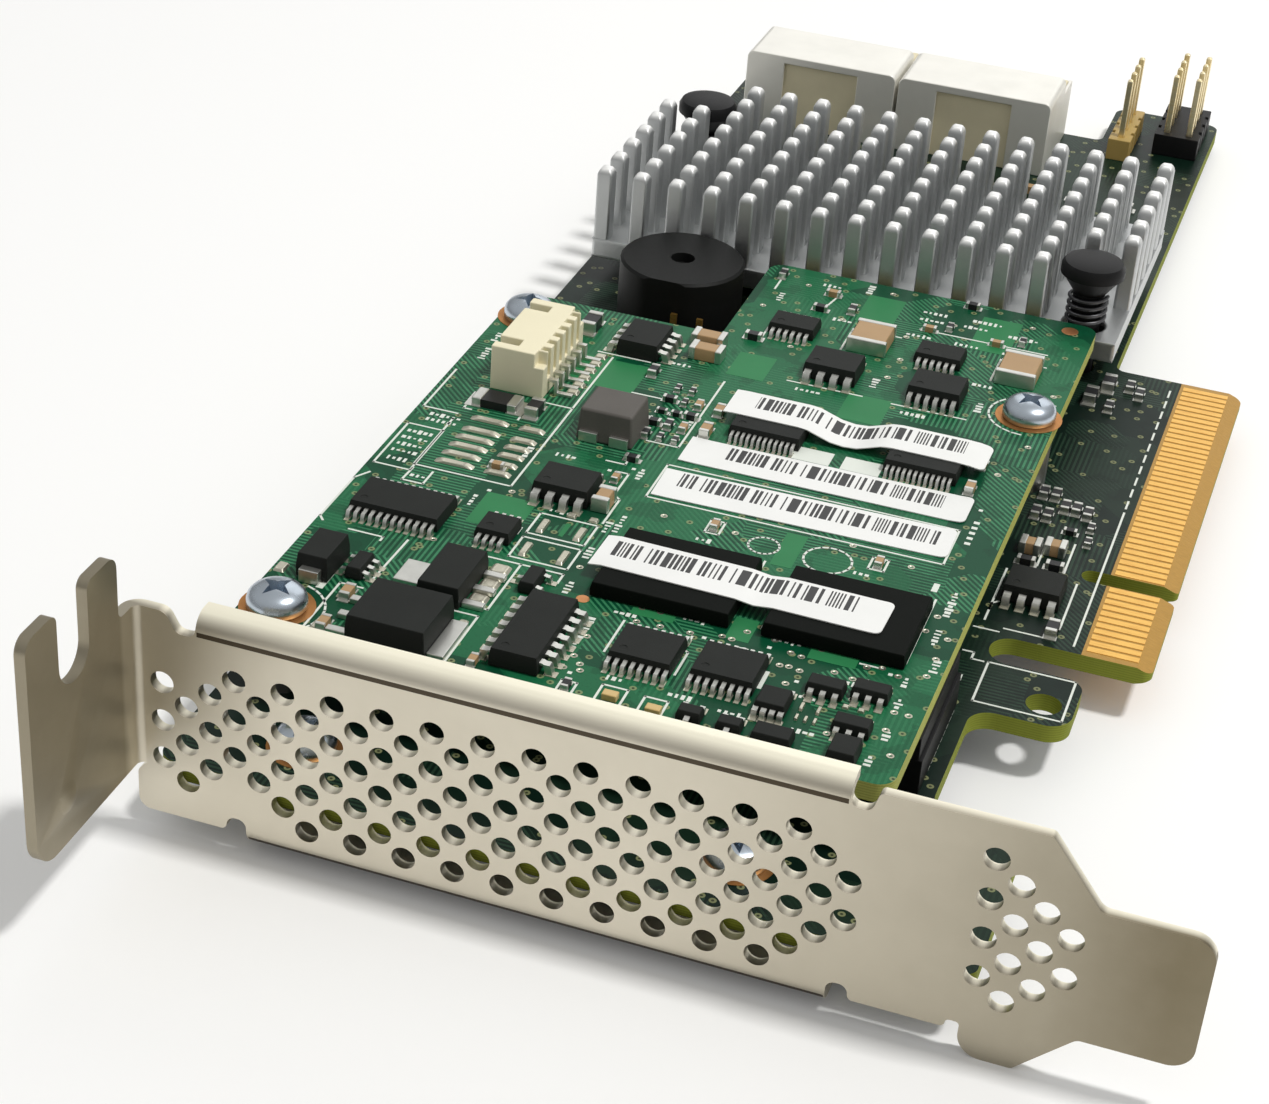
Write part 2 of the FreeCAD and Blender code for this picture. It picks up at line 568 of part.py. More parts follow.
def pan_head(x, y, z, up):
    """Low head with a cross recess, seated on z; up is 1 above a board and -1 below it."""
    head = rod(x, y, 0, SCREW_HEAD_R, SCREW_HEAD_H)
    rim = [e for e in head.Edges if abs(e.CenterOfMass.z - SCREW_HEAD_H) < 1e-6]
    head = head.makeChamfer(SCREW_HEAD_H * 0.4, rim)
    for dx, dy in ((CROSS_L, CROSS_W), (CROSS_W, CROSS_L)):
        head = head.cut(block(x, y, SCREW_HEAD_H - CROSS_DEPTH, dx, dy, CROSS_DEPTH))
    if up < 0:
        head = head.mirror(V(0, 0, 0), Z_AXIS)
    return head.translated(V(0, 0, z))


def screw_down(x, y, z, length):
    return merge([pan_head(x, y, z, 1), rod(x, y, z - length, SCREW_R, length + 0.2)])


def bracket_screws():
    return [screw_down(x, LUG_SCREW_Y, 0, BOARD_T + SHEET + SCREW_END) for x in LUG_X]


def standoffs():
    """Round spacers between the boards, with a bore for a screw at each end."""
    return [rod(x, y, 0, STANDOFF_R, STACK_GAP).cut(rod(x, y, 0, SCREW_R, STACK_GAP))
            for x, y in CACHE_SCREWS]


def cache_screws():
    return [screw_down(x, y, CACHE_Z1, BOARD_T + STACK_GAP * STANDOFF_THREAD)
            for x, y in CACHE_SCREWS]


def standoff_screws():
    """Screws from the solder side into the standoffs."""
    reach = STACK_GAP * STANDOFF_THREAD
    return [merge([pan_head(x, y, LOWER_FACE, -1),
                   rod(x, y, LOWER_FACE - 0.2, SCREW_R, BOARD_T + reach + 0.2)])
            for x, y in CACHE_SCREWS]


# ---------------------------------------------------------------- daughter board

def cache_board():
    """L-shaped board: its right half runs on past the buzzer towards the heat sink."""
    outline = [
        (CACHE_X0, CACHE_FRONT_Y, 1.5), (CACHE_X1, CACHE_FRONT_Y, 1.5),
        (CACHE_X1, CACHE_REAR_Y, 1.5), (CACHE_STEP_X, CACHE_REAR_Y, 1.5),
        (CACHE_STEP_X, CACHE_STEP_Y, 1.0), (CACHE_X0, CACHE_STEP_Y, 1.5),
    ]
    board = prism_z(outline, CACHE_Z0, BOARD_T)
    holes = [rod(x, y, CACHE_Z0, SCREW_HOLE_R, BOARD_T) for x, y in CACHE_SCREWS]
    return board.cut(Part.makeCompound(holes))


def stack_socket():
    """Board-to-board socket on the main board, with the channel that takes the plug."""
    x, y = STACK_SOCKET
    body = block(x, y, 0, STACK_W, STACK_L, STACK_SOCKET_H)
    return body.cut(block(x, y, 1.0, STACK_W - 2.4, STACK_L - 2.4, STACK_SOCKET_H))


def stack_plug():
    x, y = STACK_SOCKET
    base = block(x, y, STACK_SOCKET_H, STACK_W - 0.6, STACK_L, STACK_GAP - STACK_SOCKET_H)
    nose = block(x, y, 1.4, STACK_W - 3.0, STACK_L - 3.0, STACK_SOCKET_H - 1.4)
    return merge([base, nose])


# ---------------------------------------------------------------- processor and heat sink

def raid_processor():
    """Ball-grid substrate with a raised lid."""
    cx, cy = SINK_CENTRE
    return merge([block(cx, cy, 0, CHIP_SIDE, CHIP_SIDE * 0.9, CHIP_T),
                  block(cx, cy, CHIP_T, LID_SIDE, LID_SIDE, LID_T)])


def thermal_pad():
    cx, cy = SINK_CENTRE
    return block(cx, cy, CHIP_T + LID_T, LID_SIDE, LID_SIDE, PAD_T)


def sink_pins():
    """Pin centres in a rectangular grid, left out where a push pin needs its place."""
    pitch_x = (SINK_X1 - SINK_X0 - 2 * PIN_EDGE) / (PIN_COLUMNS - 1)
    pitch_y = (SINK_Y1 - SINK_Y0 - 2 * PIN_EDGE) / (PIN_ROWS - 1)
    for column in range(PIN_COLUMNS):
        for row in range(PIN_ROWS):
            x = SINK_X0 + PIN_EDGE + pitch_x * column
            y = SINK_Y0 + PIN_EDGE + pitch_y * row
            if all(max(abs(x - px), abs(y - py)) > PIN_CLEAR for px, py in PUSH_PINS):
                yield x, y


def heat_sink():
    """Forged pin-fin block: flat base and slim square pins."""
    z0 = SINK_BASE_Z + SINK_BASE_T
    base = box(SINK_X0, SINK_Y0, SINK_BASE_Z, SINK_X1, SINK_Y1, z0)
    base = base.cut(Part.makeCompound(push_pin_holes(SINK_BASE_Z, SINK_BASE_T)))
    pins = [block(x, y, z0, PIN_W, PIN_W, SINK_TOP_Z - z0) for x, y in sink_pins()]
    return merge([base] + pins)


def push_pins():
    """Plastic push pins: mushroom head on a cone, stem and a split barb under the board."""
    shapes = []
    for x, y in PUSH_PINS:
        low = PUSH_PIN_HEAD_Z - PUSH_PIN_HEAD_T
        head = rod(x, y, low, PUSH_PIN_HEAD_R, PUSH_PIN_HEAD_T)
        rim = [e for e in head.Edges if abs(e.CenterOfMass.z - PUSH_PIN_HEAD_Z) < 1e-6]
        head = head.makeChamfer(PUSH_PIN_HEAD_T * 0.4, rim)
        cone = spread(x, y, (low - PUSH_PIN_CONE_H, PUSH_PIN_R), (low, PUSH_PIN_HEAD_R * 0.9))
        stem = rod(x, y, LOWER_FACE - PUSH_PIN_STUB, PUSH_PIN_R, PUSH_PIN_HEAD_Z - LOWER_FACE)
        barb_z = LOWER_FACE - BARB_GAP
        barb = spread(x, y, (barb_z - BARB_H, PUSH_PIN_R * 0.6),
                      (barb_z, PUSH_PIN_HOLE_R + BARB_LAP))
        slit = block(x, y, barb_z - BARB_H - 0.1, BARB_SLIT_W, 2 * PUSH_PIN_HEAD_R, BARB_H + 0.1)
        shapes.append(merge([head, cone, stem, barb]).cut(slit))
    return shapes


def push_pin_springs():
    """Springs between the heat sink's base and the cones, as the sleeve that each one fills."""
    z0 = SINK_BASE_Z + SINK_BASE_T
    rise = PUSH_PIN_HEAD_Z - PUSH_PIN_HEAD_T - PUSH_PIN_CONE_H - z0
    return [rod(x, y, z0, SPRING_R, rise).cut(rod(x, y, z0, PUSH_PIN_R + SPRING_GAP, rise))
            for x, y in PUSH_PINS]


# ---------------------------------------------------------------- buzzer

def buzzer():
    x, y = BUZZER
    body = rod(x, y, 0, BUZZER_R, BUZZER_H, BUZZER_SIDES)
    body = body.makeChamfer(BUZZER_RIM,
                            [e for e in body.Edges if abs(e.CenterOfMass.z - BUZZER_H) < 1e-6])
    body = body.cut(box(x - BUZZER_R, y - BUZZER_R, -1, x + BUZZER_R, y - BUZZER_FLAT, BUZZER_H + 1))
    foot = box(x + BUZZER_FOOT_X[0], y - BUZZER_FLAT - BUZZER_FOOT_DEPTH, 0,
               x + BUZZER_FOOT_X[1], y - BUZZER_FLAT + 1, BUZZER_FOOT_H)
    port = rod(x, y, BUZZER_H - BUZZER_HOLE_DEPTH, BUZZER_HOLE_R, 2 * BUZZER_HOLE_DEPTH)
    return merge([body.cut(port), foot])


def buzzer_pin_places():
    x, y = BUZZER
    return [(x + dx, y - BUZZER_FLAT - BUZZER_FOOT_DEPTH / 2) for dx in BUZZER_PIN_X]


def buzzer_pins():
    """Two short contacts that stand on the buzzer's front foot."""
    return [block(x, y, BUZZER_FOOT_H, BUZZER_PIN_W, BUZZER_PIN_T, BUZZER_PIN_H)
            for x, y in buzzer_pin_places()]


# ---------------------------------------------------------------- cable sockets

def leg_places():
    """Soldered legs of the shells, in both side walls near the front and the rear."""
    ys = (SOCKET_FRONT_Y + SOCKET_LEG_SETBACK, SOCKET_REAR_Y - SOCKET_LEG_SETBACK)
    for x0 in SOCKET_XS:
        for x in (x0 + SHELL_T / 2, x0 + SOCKET_W - SHELL_T / 2):
            for y in ys:
                yield x, y


def behind_roof(x0):
    """Cutter for all that would stand above the low side walls at the mouth."""
    return box(x0 - 1, ROOF_END_Y, SIDE_WALL_H, x0 + SOCKET_W + 1, REAR_Y + 1, SOCKET_H + 1)


def socket_cage(x0):
    """Folded steel shell: roof, rear opening for the housing and low side walls at the mouth."""
    x1, y0, y1 = x0 + SOCKET_W, SOCKET_FRONT_Y, SOCKET_REAR_Y
    t = SHELL_T
    shell = box(x0, y0, 0, x1, y1, SOCKET_H)
    shell = shell.makeFillet(2 * t, [e for e in shell.Edges
                                     if abs(e.CenterOfMass.z - SOCKET_H) < 0.01
                                     and abs(e.CenterOfMass.y - (y0 + y1) / 2) < 0.01])
    shell = shell.cut(box(x0 + t, y0 + t, -1, x1 - t, y1 + 1, SOCKET_H - t))
    half, cx = BACK_OPENING_W / 2, (x0 + x1) / 2
    shell = shell.cut(box(cx - half, y0 - 1, -1, cx + half, y0 + 1, SOCKET_H - 0.9))
    legs = [block(x, y, LOWER_FACE - PIN_TAIL, t, SOCKET_LEG_W, -LOWER_FACE + PIN_TAIL + 1)
            for x, y in leg_places() if x0 < x < x1]
    return merge([shell.cut(behind_roof(x0))] + legs)


def socket_housing(x0):
    """Moulded insulator inside a shell, with the mouth and the slot for the cable's card."""
    gap = 0.02
    x1, y0, y1 = x0 + SOCKET_W, SOCKET_FRONT_Y + SHELL_T, HOUSING_REAR_Y
    cx = (x0 + x1) / 2
    body = box(x0 + SHELL_T + gap, y0 + gap, 0, x1 - SHELL_T - gap, y1, SOCKET_H - SHELL_T - gap)
    body = body.makeFillet(SHELL_T + 0.05, [e for e in body.Edges
                                            if e.CenterOfMass.z > SOCKET_H - 1
                                            and abs(e.CenterOfMass.y - (y0 + y1) / 2) < 0.2])
    mouth = box(cx - MOUTH_W / 2, y1 - MOUTH_DEPTH, MOUTH_FLOOR_Z, cx + MOUTH_W / 2, y1 + 1,
                MOUTH_FLOOR_Z + MOUTH_H)
    slot = box(cx - CARD_SLOT_W / 2, y1 - MOUTH_DEPTH - CARD_SLOT_DEPTH, CARD_SLOT_Z,
               cx + CARD_SLOT_W / 2, y1, CARD_SLOT_Z + CARD_SLOT_H)
    return body.cut(Part.makeCompound([mouth, slot])).cut(behind_roof(x0))


def socket_contacts():
    """Gold springs on the floor of each card slot."""
    shapes = []
    end = HOUSING_REAR_Y - MOUTH_DEPTH
    for x0 in SOCKET_XS:
        for n in range(SLOT_CONTACTS):
            x = x0 + SOCKET_W / 2 + SLOT_PITCH * (n - (SLOT_CONTACTS - 1) / 2)
            shapes.append(box(x - SLOT_PITCH / 4, end - CARD_SLOT_DEPTH + 0.1, CARD_SLOT_Z,
                              x + SLOT_PITCH / 4, end - 0.2, CARD_SLOT_Z + 0.25))
    return shapes


# ---------------------------------------------------------------- pin headers

def header_places(name):
    """Pin centres of a header: its first pin, then columns towards -X and rows towards +Y."""
    x, y, columns, rows = HEADERS[name]
    return [(x - HEADER_PITCH * c, y + HEADER_PITCH * r) for c in range(columns) for r in range(rows)]


def header_base(name):
    """Base strip, notched between its pins."""
    x, y, columns, rows = HEADERS[name]
    cx = x - HEADER_PITCH * (columns - 1) / 2
    cy = y + HEADER_PITCH * (rows - 1) / 2
    base = block(cx, cy, 0, HEADER_PITCH * columns, HEADER_PITCH * rows, HEADER_BASE_H)
    holes = [block(px, py, 0, HEADER_PIN, HEADER_PIN, HEADER_BASE_H)
             for px, py in header_places(name)]
    side = HEADER_PITCH * columns / 2
    notches = [block(cx + s * side, y + HEADER_PITCH * (r + 0.5), 0, HEADER_NOTCH, HEADER_NOTCH,
                     HEADER_BASE_H)
               for r in range(rows - 1) for s in (-1, 1)]
    return base.cut(Part.makeCompound(holes + notches))


def square_pin(x, y, z0, z1):
    """Square pin with a short pyramid tip."""
    r = HEADER_PIN / 2
    body = block(x, y, z0, HEADER_PIN, HEADER_PIN, z1 - z0)
    return body.makeChamfer(r * 0.6, [e for e in body.Edges if abs(e.CenterOfMass.z - z1) < 1e-3])


def header_pins():
    return [square_pin(x, y, LOWER_FACE - PIN_TAIL, HEADER_PIN_TOP)
            for name in HEADERS for x, y in header_places(name)]


def through_pins(z0, height):
    """Holes in the main board for header pins and socket legs."""
    cuts = [block(x, y, z0, HEADER_PIN, HEADER_PIN, height)
            for name in HEADERS for x, y in header_places(name)]
    return cuts + [block(x, y, z0, SHELL_T, SOCKET_LEG_W, height) for x, y in leg_places()]


# ---------------------------------------------------------------- daughter board cable socket

def cable_socket():
    """Side-entry wire socket: its mouth faces the card's upper edge."""
    x0, y0 = CABLE_SOCKET
    x1, y1 = x0 + CABLE_SOCKET_W, y0 + CABLE_SOCKET_L
    z0, z1 = CACHE_Z1, CACHE_Z1 + CABLE_SOCKET_H
    body = box(x0, y0, z0, x1, y1, z1)
    inner0, inner1 = y0 + CABLE_END_WALL, y1 - CABLE_END_WALL
    mouth = box(x0 - 1, inner0, z0 + CABLE_FLOOR, x0 + CABLE_MOUTH_DEPTH, inner1, z1 - CABLE_FLOOR)
    windows = [box(x0 - 1, y, z1 - 1, x0 + CABLE_WINDOW_L, y + CABLE_WINDOW_W, z1 + 1)
               for y in (inner0, inner1 - CABLE_WINDOW_W)]
    steps = [box(x1 - CABLE_STEP, y, z1 - CABLE_STEP_H, x1 + 1, y + CABLE_STEP, z1 + 1)
             for y in (y0, y1 - CABLE_STEP)]
    slots = [box(x1 - CABLE_SLOT_DEPTH, y - CABLE_SLOT_W / 2, z0 + CABLE_SLOT_Z,
                 x1 + 1, y + CABLE_SLOT_W / 2, z1 + 1) for y in cable_pin_places()]
    return body.cut(Part.makeCompound([mouth] + windows + steps + slots))


def cable_pin_places():
    middle = CABLE_SOCKET[1] + CABLE_SOCKET_L / 2
    return [middle + CABLE_PITCH * (n - (CABLE_PINS - 1) / 2) for n in range(CABLE_PINS)]


def cable_socket_pins():
    """Terminals: out of the housing's back, down and along the board."""
    back = CABLE_SOCKET[0] + CABLE_SOCKET_W
    knee = back + CABLE_PIN_KNEE
    z, top = CACHE_Z1, CACHE_Z1 + CABLE_PIN_Z + CABLE_PIN_T
    shapes = []
    for y in cable_pin_places():
        y0, y1 = y - CABLE_PIN_W / 2, y + CABLE_PIN_W / 2
        shapes.append(merge([box(back, y0, z + CABLE_PIN_Z, knee, y1, top),
                             box(knee - CABLE_PIN_T, y0, z, knee, y1, top),
                             box(knee - CABLE_PIN_T, y0, z, back + CABLE_PIN_REACH, y1,
                                 z + CABLE_PIN_T)]))
    return shapes


# ---------------------------------------------------------------- packages

def tapered(x, y, z, dx, dy, h, slope):
    """Truncated pyramid that narrows by slope on every side."""
    rings = []
    for level, inset in ((z, 0), (z + h, slope)):
        a, b = dx / 2 - inset, dy / 2 - inset
        rings.append([V(x - a, y - b, level), V(x + a, y - b, level), V(x + a, y + b, level),
                      V(x - a, y + b, level)])
    return frustum(*rings)


def package(entry, z):
    """Moulded body just clear of its board, with drafted sides above the parting line."""
    x, y, dx, dy, h = entry[:5]
    foot = z + BODY_LIFT
    return merge([block(x, y, foot, dx, dy, h / 2),
                  tapered(x, y, foot + h / 2, dx, dy, h / 2, PACKAGE_DRAFT)])


def leads(entry, z):
    """Slanted strips from two opposite sides of a package down to its pads.

    Leads of a fine pitch are drawn as one strip that is as wide as the row.
    """
    x, y, dx, dy, h, count, pitch, axis = entry
    half = (dx if axis == "x" else dy) / 2
    knee = z + BODY_LIFT + h * 0.45
    width = pitch * 0.45
    offsets = [pitch * (n - (count - 1) / 2) - width / 2 for n in range(count)]
    if pitch < FINE_PITCH:
        width += offsets[-1] - offsets[0]
        offsets = offsets[:1]
    profile = [(half, knee, 0), (half + LEAD_REACH, z, 0), (half + LEAD_REACH, z + LEAD_T, 0),
               (half, knee + 2 * LEAD_T, 0)]
    shapes = []
    for offset in offsets:
        strip = prism_x(profile, offset, width)
        for turn in (0, 180):
            copy = strip.copy()
            copy.rotate(V(0, 0, 0), Z_AXIS, turn + (90 if axis == "x" else 0))
            shapes.append(copy.translated(V(x, y, 0)))
    return shapes


def regulators():
    """Two power packages on the daughter board, each with three legs on its pads."""
    return [package(entry, CACHE_Z1) for entry in (REGULATOR_WIDE, REGULATOR_DEEP)]


def regulator_tabs():
    """Solder tabs and legs of the power packages."""
    z, t = CACHE_Z1, REGULATOR_METAL_T
    shapes = []
    for (x, y, dx, dy, h), side, tab_l, tab_w in REGULATOR_TABS:
        front, back = x + side * dx / 2, x - side * dx / 2
        shapes.append(block(front + side * tab_l / 2, y, z, tab_l, tab_w, t))
        for n in range(REGULATOR_LEGS):
            leg_y = y + REGULATOR_LEG_PITCH * (n - (REGULATOR_LEGS - 1) / 2)
            shapes.append(block(back - side * REGULATOR_LEG_L / 2, leg_y, z, REGULATOR_LEG_L,
                                REGULATOR_LEG_W, t))
    return shapes


def power_inductor():
    return tapered(*POWER_INDUCTOR, CACHE_Z1, *INDUCTOR_SIZE, INDUCTOR_DRAFT)


def lights():
    """Two small status lights behind the bracket."""
    return [block(x, y, CACHE_Z1, *LIGHT_SIZE) for x, y in LIGHTS]


# ---------------------------------------------------------------- paper labels

def flat_labels():
    return [box(LABEL_X0, y0, CACHE_Z1, LABEL_X1, y1, CACHE_Z1 + LABEL_T) for y0, y1 in FLAT_LABELS]


def draped_label(chips, span, dip):
    """Label laid over two packages; between them it sags by dip."""
    y0, y1 = span
    (xa, _, da, _, h), (xb, _, db, _, _) = (chip[:5] for chip in chips)
    top = CACHE_Z1 + BODY_LIFT + h
    left, right = xa - da / 2 - LABEL_LAP, xb + db / 2 + LABEL_LAP
    inner0, inner1 = xa + da / 2, xb - db / 2
    middle = (inner0 + inner1) / 2
    low = top - dip

    def curve(lift):
        points = [V(inner0, y0, top + lift), V((inner0 + middle) / 2, y0, (top + low) / 2 + lift),
                  V(middle, y0, low + lift), V((middle + inner1) / 2, y0, (top + low) / 2 + lift),
                  V(inner1, y0, top + lift)]
        return [V(left, y0, top + lift)] + points + [V(right, y0, top + lift)]

    outline = curve(0) + curve(LABEL_T)[::-1]
    return Part.Face(Part.makePolygon(outline + outline[:1])).extrude(V(0, y1 - y0, 0))


# ---------------------------------------------------------------- assembly

def build():
    os.makedirs("parts", exist_ok=True)
    save("main_board", main_board())
    save("edge_contacts", edge_contacts())
    save("bracket", bracket())
    save("bracket_screws", bracket_screws())
    save("standoffs", standoffs())
    save("standoff_screws", standoff_screws())
    save("cache_board", cache_board())
    save("cache_board_screws", cache_screws())
    save("stack_socket", stack_socket())
    save("stack_plug", stack_plug())
    save("raid_processor", raid_processor())
    save("thermal_pad", thermal_pad())
    save("heat_sink", heat_sink())
    save("push_pins", push_pins())
    save("push_pin_springs", push_pin_springs())
    save("buzzer", buzzer())
    save("buzzer_pins", buzzer_pins())
    for n, x0 in enumerate(SOCKET_XS, 1):
        save(f"socket_cage_{n}", socket_cage(x0))
        save(f"socket_housing_{n}", socket_housing(x0))
    save("socket_contacts", socket_contacts())
    for name in HEADERS:
        save(name, header_base(name))
    save("header_pins", header_pins())
    save("cable_socket", cable_socket())
    save("cable_socket_pins", cable_socket_pins())
    for name, entry in LEADED.items():
        save(name, package(entry, CACHE_Z1))
    save("boot_flash", package(MAIN_FLASH, 0))
    all_leads = [strip for entry in LEADED.values() for strip in leads(entry, CACHE_Z1)]
    save("package_leads", all_leads + leads(MAIN_FLASH, 0))
    save("small_packages", [package(entry, CACHE_Z1) for entry in SMALL_PACKAGES])
    save("capacitors", [package(entry, CACHE_Z1 - BODY_LIFT) for entry in CAPACITORS]
         + [package(entry, -BODY_LIFT) for entry in MAIN_CAPACITORS])
    save("flash_chips", [package(entry, CACHE_Z1) for entry in FLASH_CHIPS])
    save("memory_chips", [package(place + MEMORY_SIZE, 0) for place in MEMORY_PLACES])
    save("regulators", regulators())
    save("regulator_tabs", regulator_tabs())
    save("power_inductor", power_inductor())
    save("lights", lights())
    save("flat_labels", flat_labels())
    save("flash_label", draped_label(FLASH_CHIPS, FLASH_LABEL_Y, FLASH_LABEL_DIP))
    save("bridge_label", draped_label((LEADED["bridge_left"], LEADED["bridge_right"]),
                                      BRIDGE_LABEL_Y, BRIDGE_LABEL_DIP))


build()
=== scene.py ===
"""Low-profile RAID controller card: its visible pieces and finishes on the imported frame."""

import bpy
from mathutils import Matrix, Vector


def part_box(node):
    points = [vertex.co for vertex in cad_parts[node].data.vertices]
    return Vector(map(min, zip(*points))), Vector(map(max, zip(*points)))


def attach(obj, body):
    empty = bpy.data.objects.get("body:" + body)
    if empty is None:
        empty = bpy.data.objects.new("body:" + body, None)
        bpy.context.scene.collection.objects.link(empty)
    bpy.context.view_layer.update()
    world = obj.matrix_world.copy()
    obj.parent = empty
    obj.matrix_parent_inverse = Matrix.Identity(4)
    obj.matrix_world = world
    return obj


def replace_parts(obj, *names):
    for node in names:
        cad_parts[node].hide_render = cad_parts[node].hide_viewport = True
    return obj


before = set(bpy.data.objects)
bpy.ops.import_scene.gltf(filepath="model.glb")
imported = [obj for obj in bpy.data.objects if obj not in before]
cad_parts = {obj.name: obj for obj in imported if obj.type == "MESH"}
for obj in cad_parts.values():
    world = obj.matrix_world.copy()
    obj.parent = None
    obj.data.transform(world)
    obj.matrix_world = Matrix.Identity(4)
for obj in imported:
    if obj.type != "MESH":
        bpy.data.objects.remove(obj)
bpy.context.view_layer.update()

import math
import random
from functools import cached_property, partialmethod

import bpy
from mathutils import Matrix, Vector


# ---- main board
# Eight-layer glass laminate under a very dark green solder mask, routed to shape.
# The strip around its gold contacts is free of mask, and its cut edges show the laminate.

class Socket:
    """One shader socket; sums, products and comparisons on it add Math nodes."""

    def __init__(self, finish, link):
        self.finish, self.link = finish, link

    def math(self, operation, *others):
        return self.finish.node("ShaderNodeMath", {"operation": operation},
                                dict(enumerate((self,) + others)))

    def limited(self):
        """Kept between 0 and 1."""
        return self.math("MINIMUM", 1.0).math("MAXIMUM", 0.0)

    def __rsub__(self, other):
        return self.math("MULTIPLY", -1.0) + other

    __add__ = __radd__ = partialmethod(math, "ADD")
    __mul__ = __rmul__ = partialmethod(math, "MULTIPLY")
    __sub__ = partialmethod(math, "SUBTRACT")
    __gt__ = partialmethod(math, "GREATER_THAN")
    __lt__ = partialmethod(math, "LESS_THAN")


class Finish:
    """The node tree of one finish, on Object coordinates in millimetres."""

    def __init__(self, name, constants):
        self.material = bpy.data.materials.new(name)
        self.material.use_nodes = True
        self.tree = self.material.node_tree
        self.shader = self.tree.nodes["Principled BSDF"]
        for socket, value in constants.items():
            self.shader.inputs[socket].default_value = value

    def node(self, kind, settings=None, sockets=None, out=0):
        """Adds a node: its settings first, then the values or links of its sockets."""
        node = self.tree.nodes.new(kind)
        for key, value in (settings or {}).items():
            setattr(node, key, value)
        for key, value in (sockets or {}).items():
            if isinstance(value, Socket):
                self.tree.links.new(value.link, node.inputs[key])
            else:
                node.inputs[key].default_value = value
        return Socket(self, node.outputs[out])

    @cached_property
    def place(self):
        """Place on the object, in millimetres."""
        metres = self.node("ShaderNodeTexCoord", out="Object")
        return self.node("ShaderNodeVectorMath", {"operation": "SCALE"},
                         {0: metres, "Scale": 1000.0})

    def parts(self, vector):
        return [self.node("ShaderNodeSeparateXYZ", None, {0: vector}, out=n) for n in range(3)]

    def noise(self, scale, detail=2.0, place=None):
        return self.node("ShaderNodeTexNoise", None, {
            "Vector": self.place if place is None else place, "Scale": scale, "Detail": detail})

    def stretch(self, x, y, z):
        return self.node("ShaderNodeMapping", None, {"Vector": self.place, "Scale": (x, y, z)})

    def mix(self, low, high, factor):
        return self.node("ShaderNodeMix", {"data_type": "RGBA"},
                         {0: factor, 6: low, 7: high}, out=2)

    def feed(self, socket, value):
        self.tree.links.new(value.link, self.shader.inputs[socket])

    def worn(self, colour, rough, height, depth_mm, strength):
        """The material with its colour, roughness and relief fed."""
        self.feed("Base Color", colour)
        self.feed("Roughness", rough)
        self.feed("Normal", self.node("ShaderNodeBump", None, {
            "Height": height, "Distance": depth_mm / 1000, "Strength": strength}))
        return self.material


def tone(r, g, b):
    """Colour from 0..255 display values."""
    return tuple((c / 255 / 12.92 if c <= 10 else ((c / 255 + 0.055) / 1.055) ** 2.4)
                 for c in (r, g, b)) + (1.0,)


def shade(colour, share):
    return tuple(c * share for c in colour[:3]) + (1.0,)


def solder_mask(name, bare, poured, track, edge, shift, strip=None):
    """Mask over copper: pours, bundles of tracks and covered vias; bare laminate at the edges."""
    f = Finish(name, {"Specular IOR Level": 0.13})
    moved = f.node("ShaderNodeVectorMath", {"operation": "ADD"}, {0: f.place, 1: shift})
    x, y, z = f.parts(moved)

    def cells(scale, metric, out):
        return f.node("ShaderNodeTexVoronoi", {"voronoi_dimensions": "2D", "distance": metric},
                      {"Vector": moved, "Scale": scale}, out=out)

    area = f.parts(cells(0.12, "CHEBYCHEV", "Color"))
    lanes = f.parts(cells(0.17, "CHEBYCHEV", "Color"))
    pour = area[0] > 0.52
    across, along = lanes[0] < 0.3, lanes[0] > 0.6
    slant = (1 - across) * (1 - along)
    run = x * across + y * along + (x + y) * 0.7071 * slant
    line = (run * 2.2).math("FRACT") < 0.45
    tracks = line * (lanes[1] > 0.4) * (1 - pour * 0.7)
    spots = cells(0.52, "EUCLIDEAN", "Distance")
    kept = f.parts(cells(0.52, "EUCLIDEAN", "Color"))[2] > 0.45
    ring, hole = (spots < 0.15) * kept, (spots < 0.06) * kept
    cloud = f.noise(0.35, 4.0, moved)
    weave = f.noise(5.0, 2.0, moved)
    colour = f.mix(bare, poured, pour * 0.85)
    colour = f.mix(colour, track, tracks * 0.75)
    colour = f.mix(colour, shade(bare, 0.55), (cloud > 0.55) * 0.3 + (weave > 0.6) * 0.2)
    colour = f.mix(colour, tone(164, 168, 120), ring * 0.5)
    colour = f.mix(colour, tone(16, 24, 16), hole * 0.85)
    upright = f.parts(f.node("ShaderNodeNewGeometry", out="Normal"))[2].math("ABSOLUTE") < 0.5
    plies = (z * 4.4).math("FRACT") < 0.3
    if strip:
        flat_x, flat_y, _ = f.parts(f.place)
        free = (flat_x > strip[0]) * (flat_y > strip[1])
        fibres = f.noise(2.0, 2.0, f.stretch(1.0, 6.0, 1.0))
        colour = f.mix(colour, f.mix(tone(196, 152, 78), tone(160, 124, 62), fibres), free)
    cut = f.mix(edge, shade(edge, 0.6), plies * 0.6 + cloud * 0.3)
    return f.worn(f.mix(colour, cut, upright), upright * 0.35 + cloud * 0.1 + 0.3,
                  pour * 0.5 + tracks * 0.5 + ring * 0.4 - hole, 0.04, 0.7)


def skin(node, material):
    """Gives a CAD node its finish."""
    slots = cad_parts[node].data.materials
    slots.clear()
    slots.append(material)


skin("main_board", solder_mask("dark_solder_mask", tone(11, 30, 22), tone(22, 42, 30),
                               tone(42, 66, 50), tone(138, 146, 54), (3.1, 7.7, 0.0),
                               strip=(-5.9, -12.7)))


# ---- main board printing
# White epoxy ink on the main board: outlines, dashes and a framed field on the ear.
# It is printed after the mask, a few hundredths of a millimetre thick.

def stand(piece):
    bpy.context.scene.collection.objects.link(piece)
    return piece


def alone(*pieces):
    """Selects these pieces and nothing else; the first one is active."""
    bpy.ops.object.select_all(action="DESELECT")
    for piece in pieces:
        piece.select_set(True)
    bpy.context.view_layer.objects.active = pieces[0]


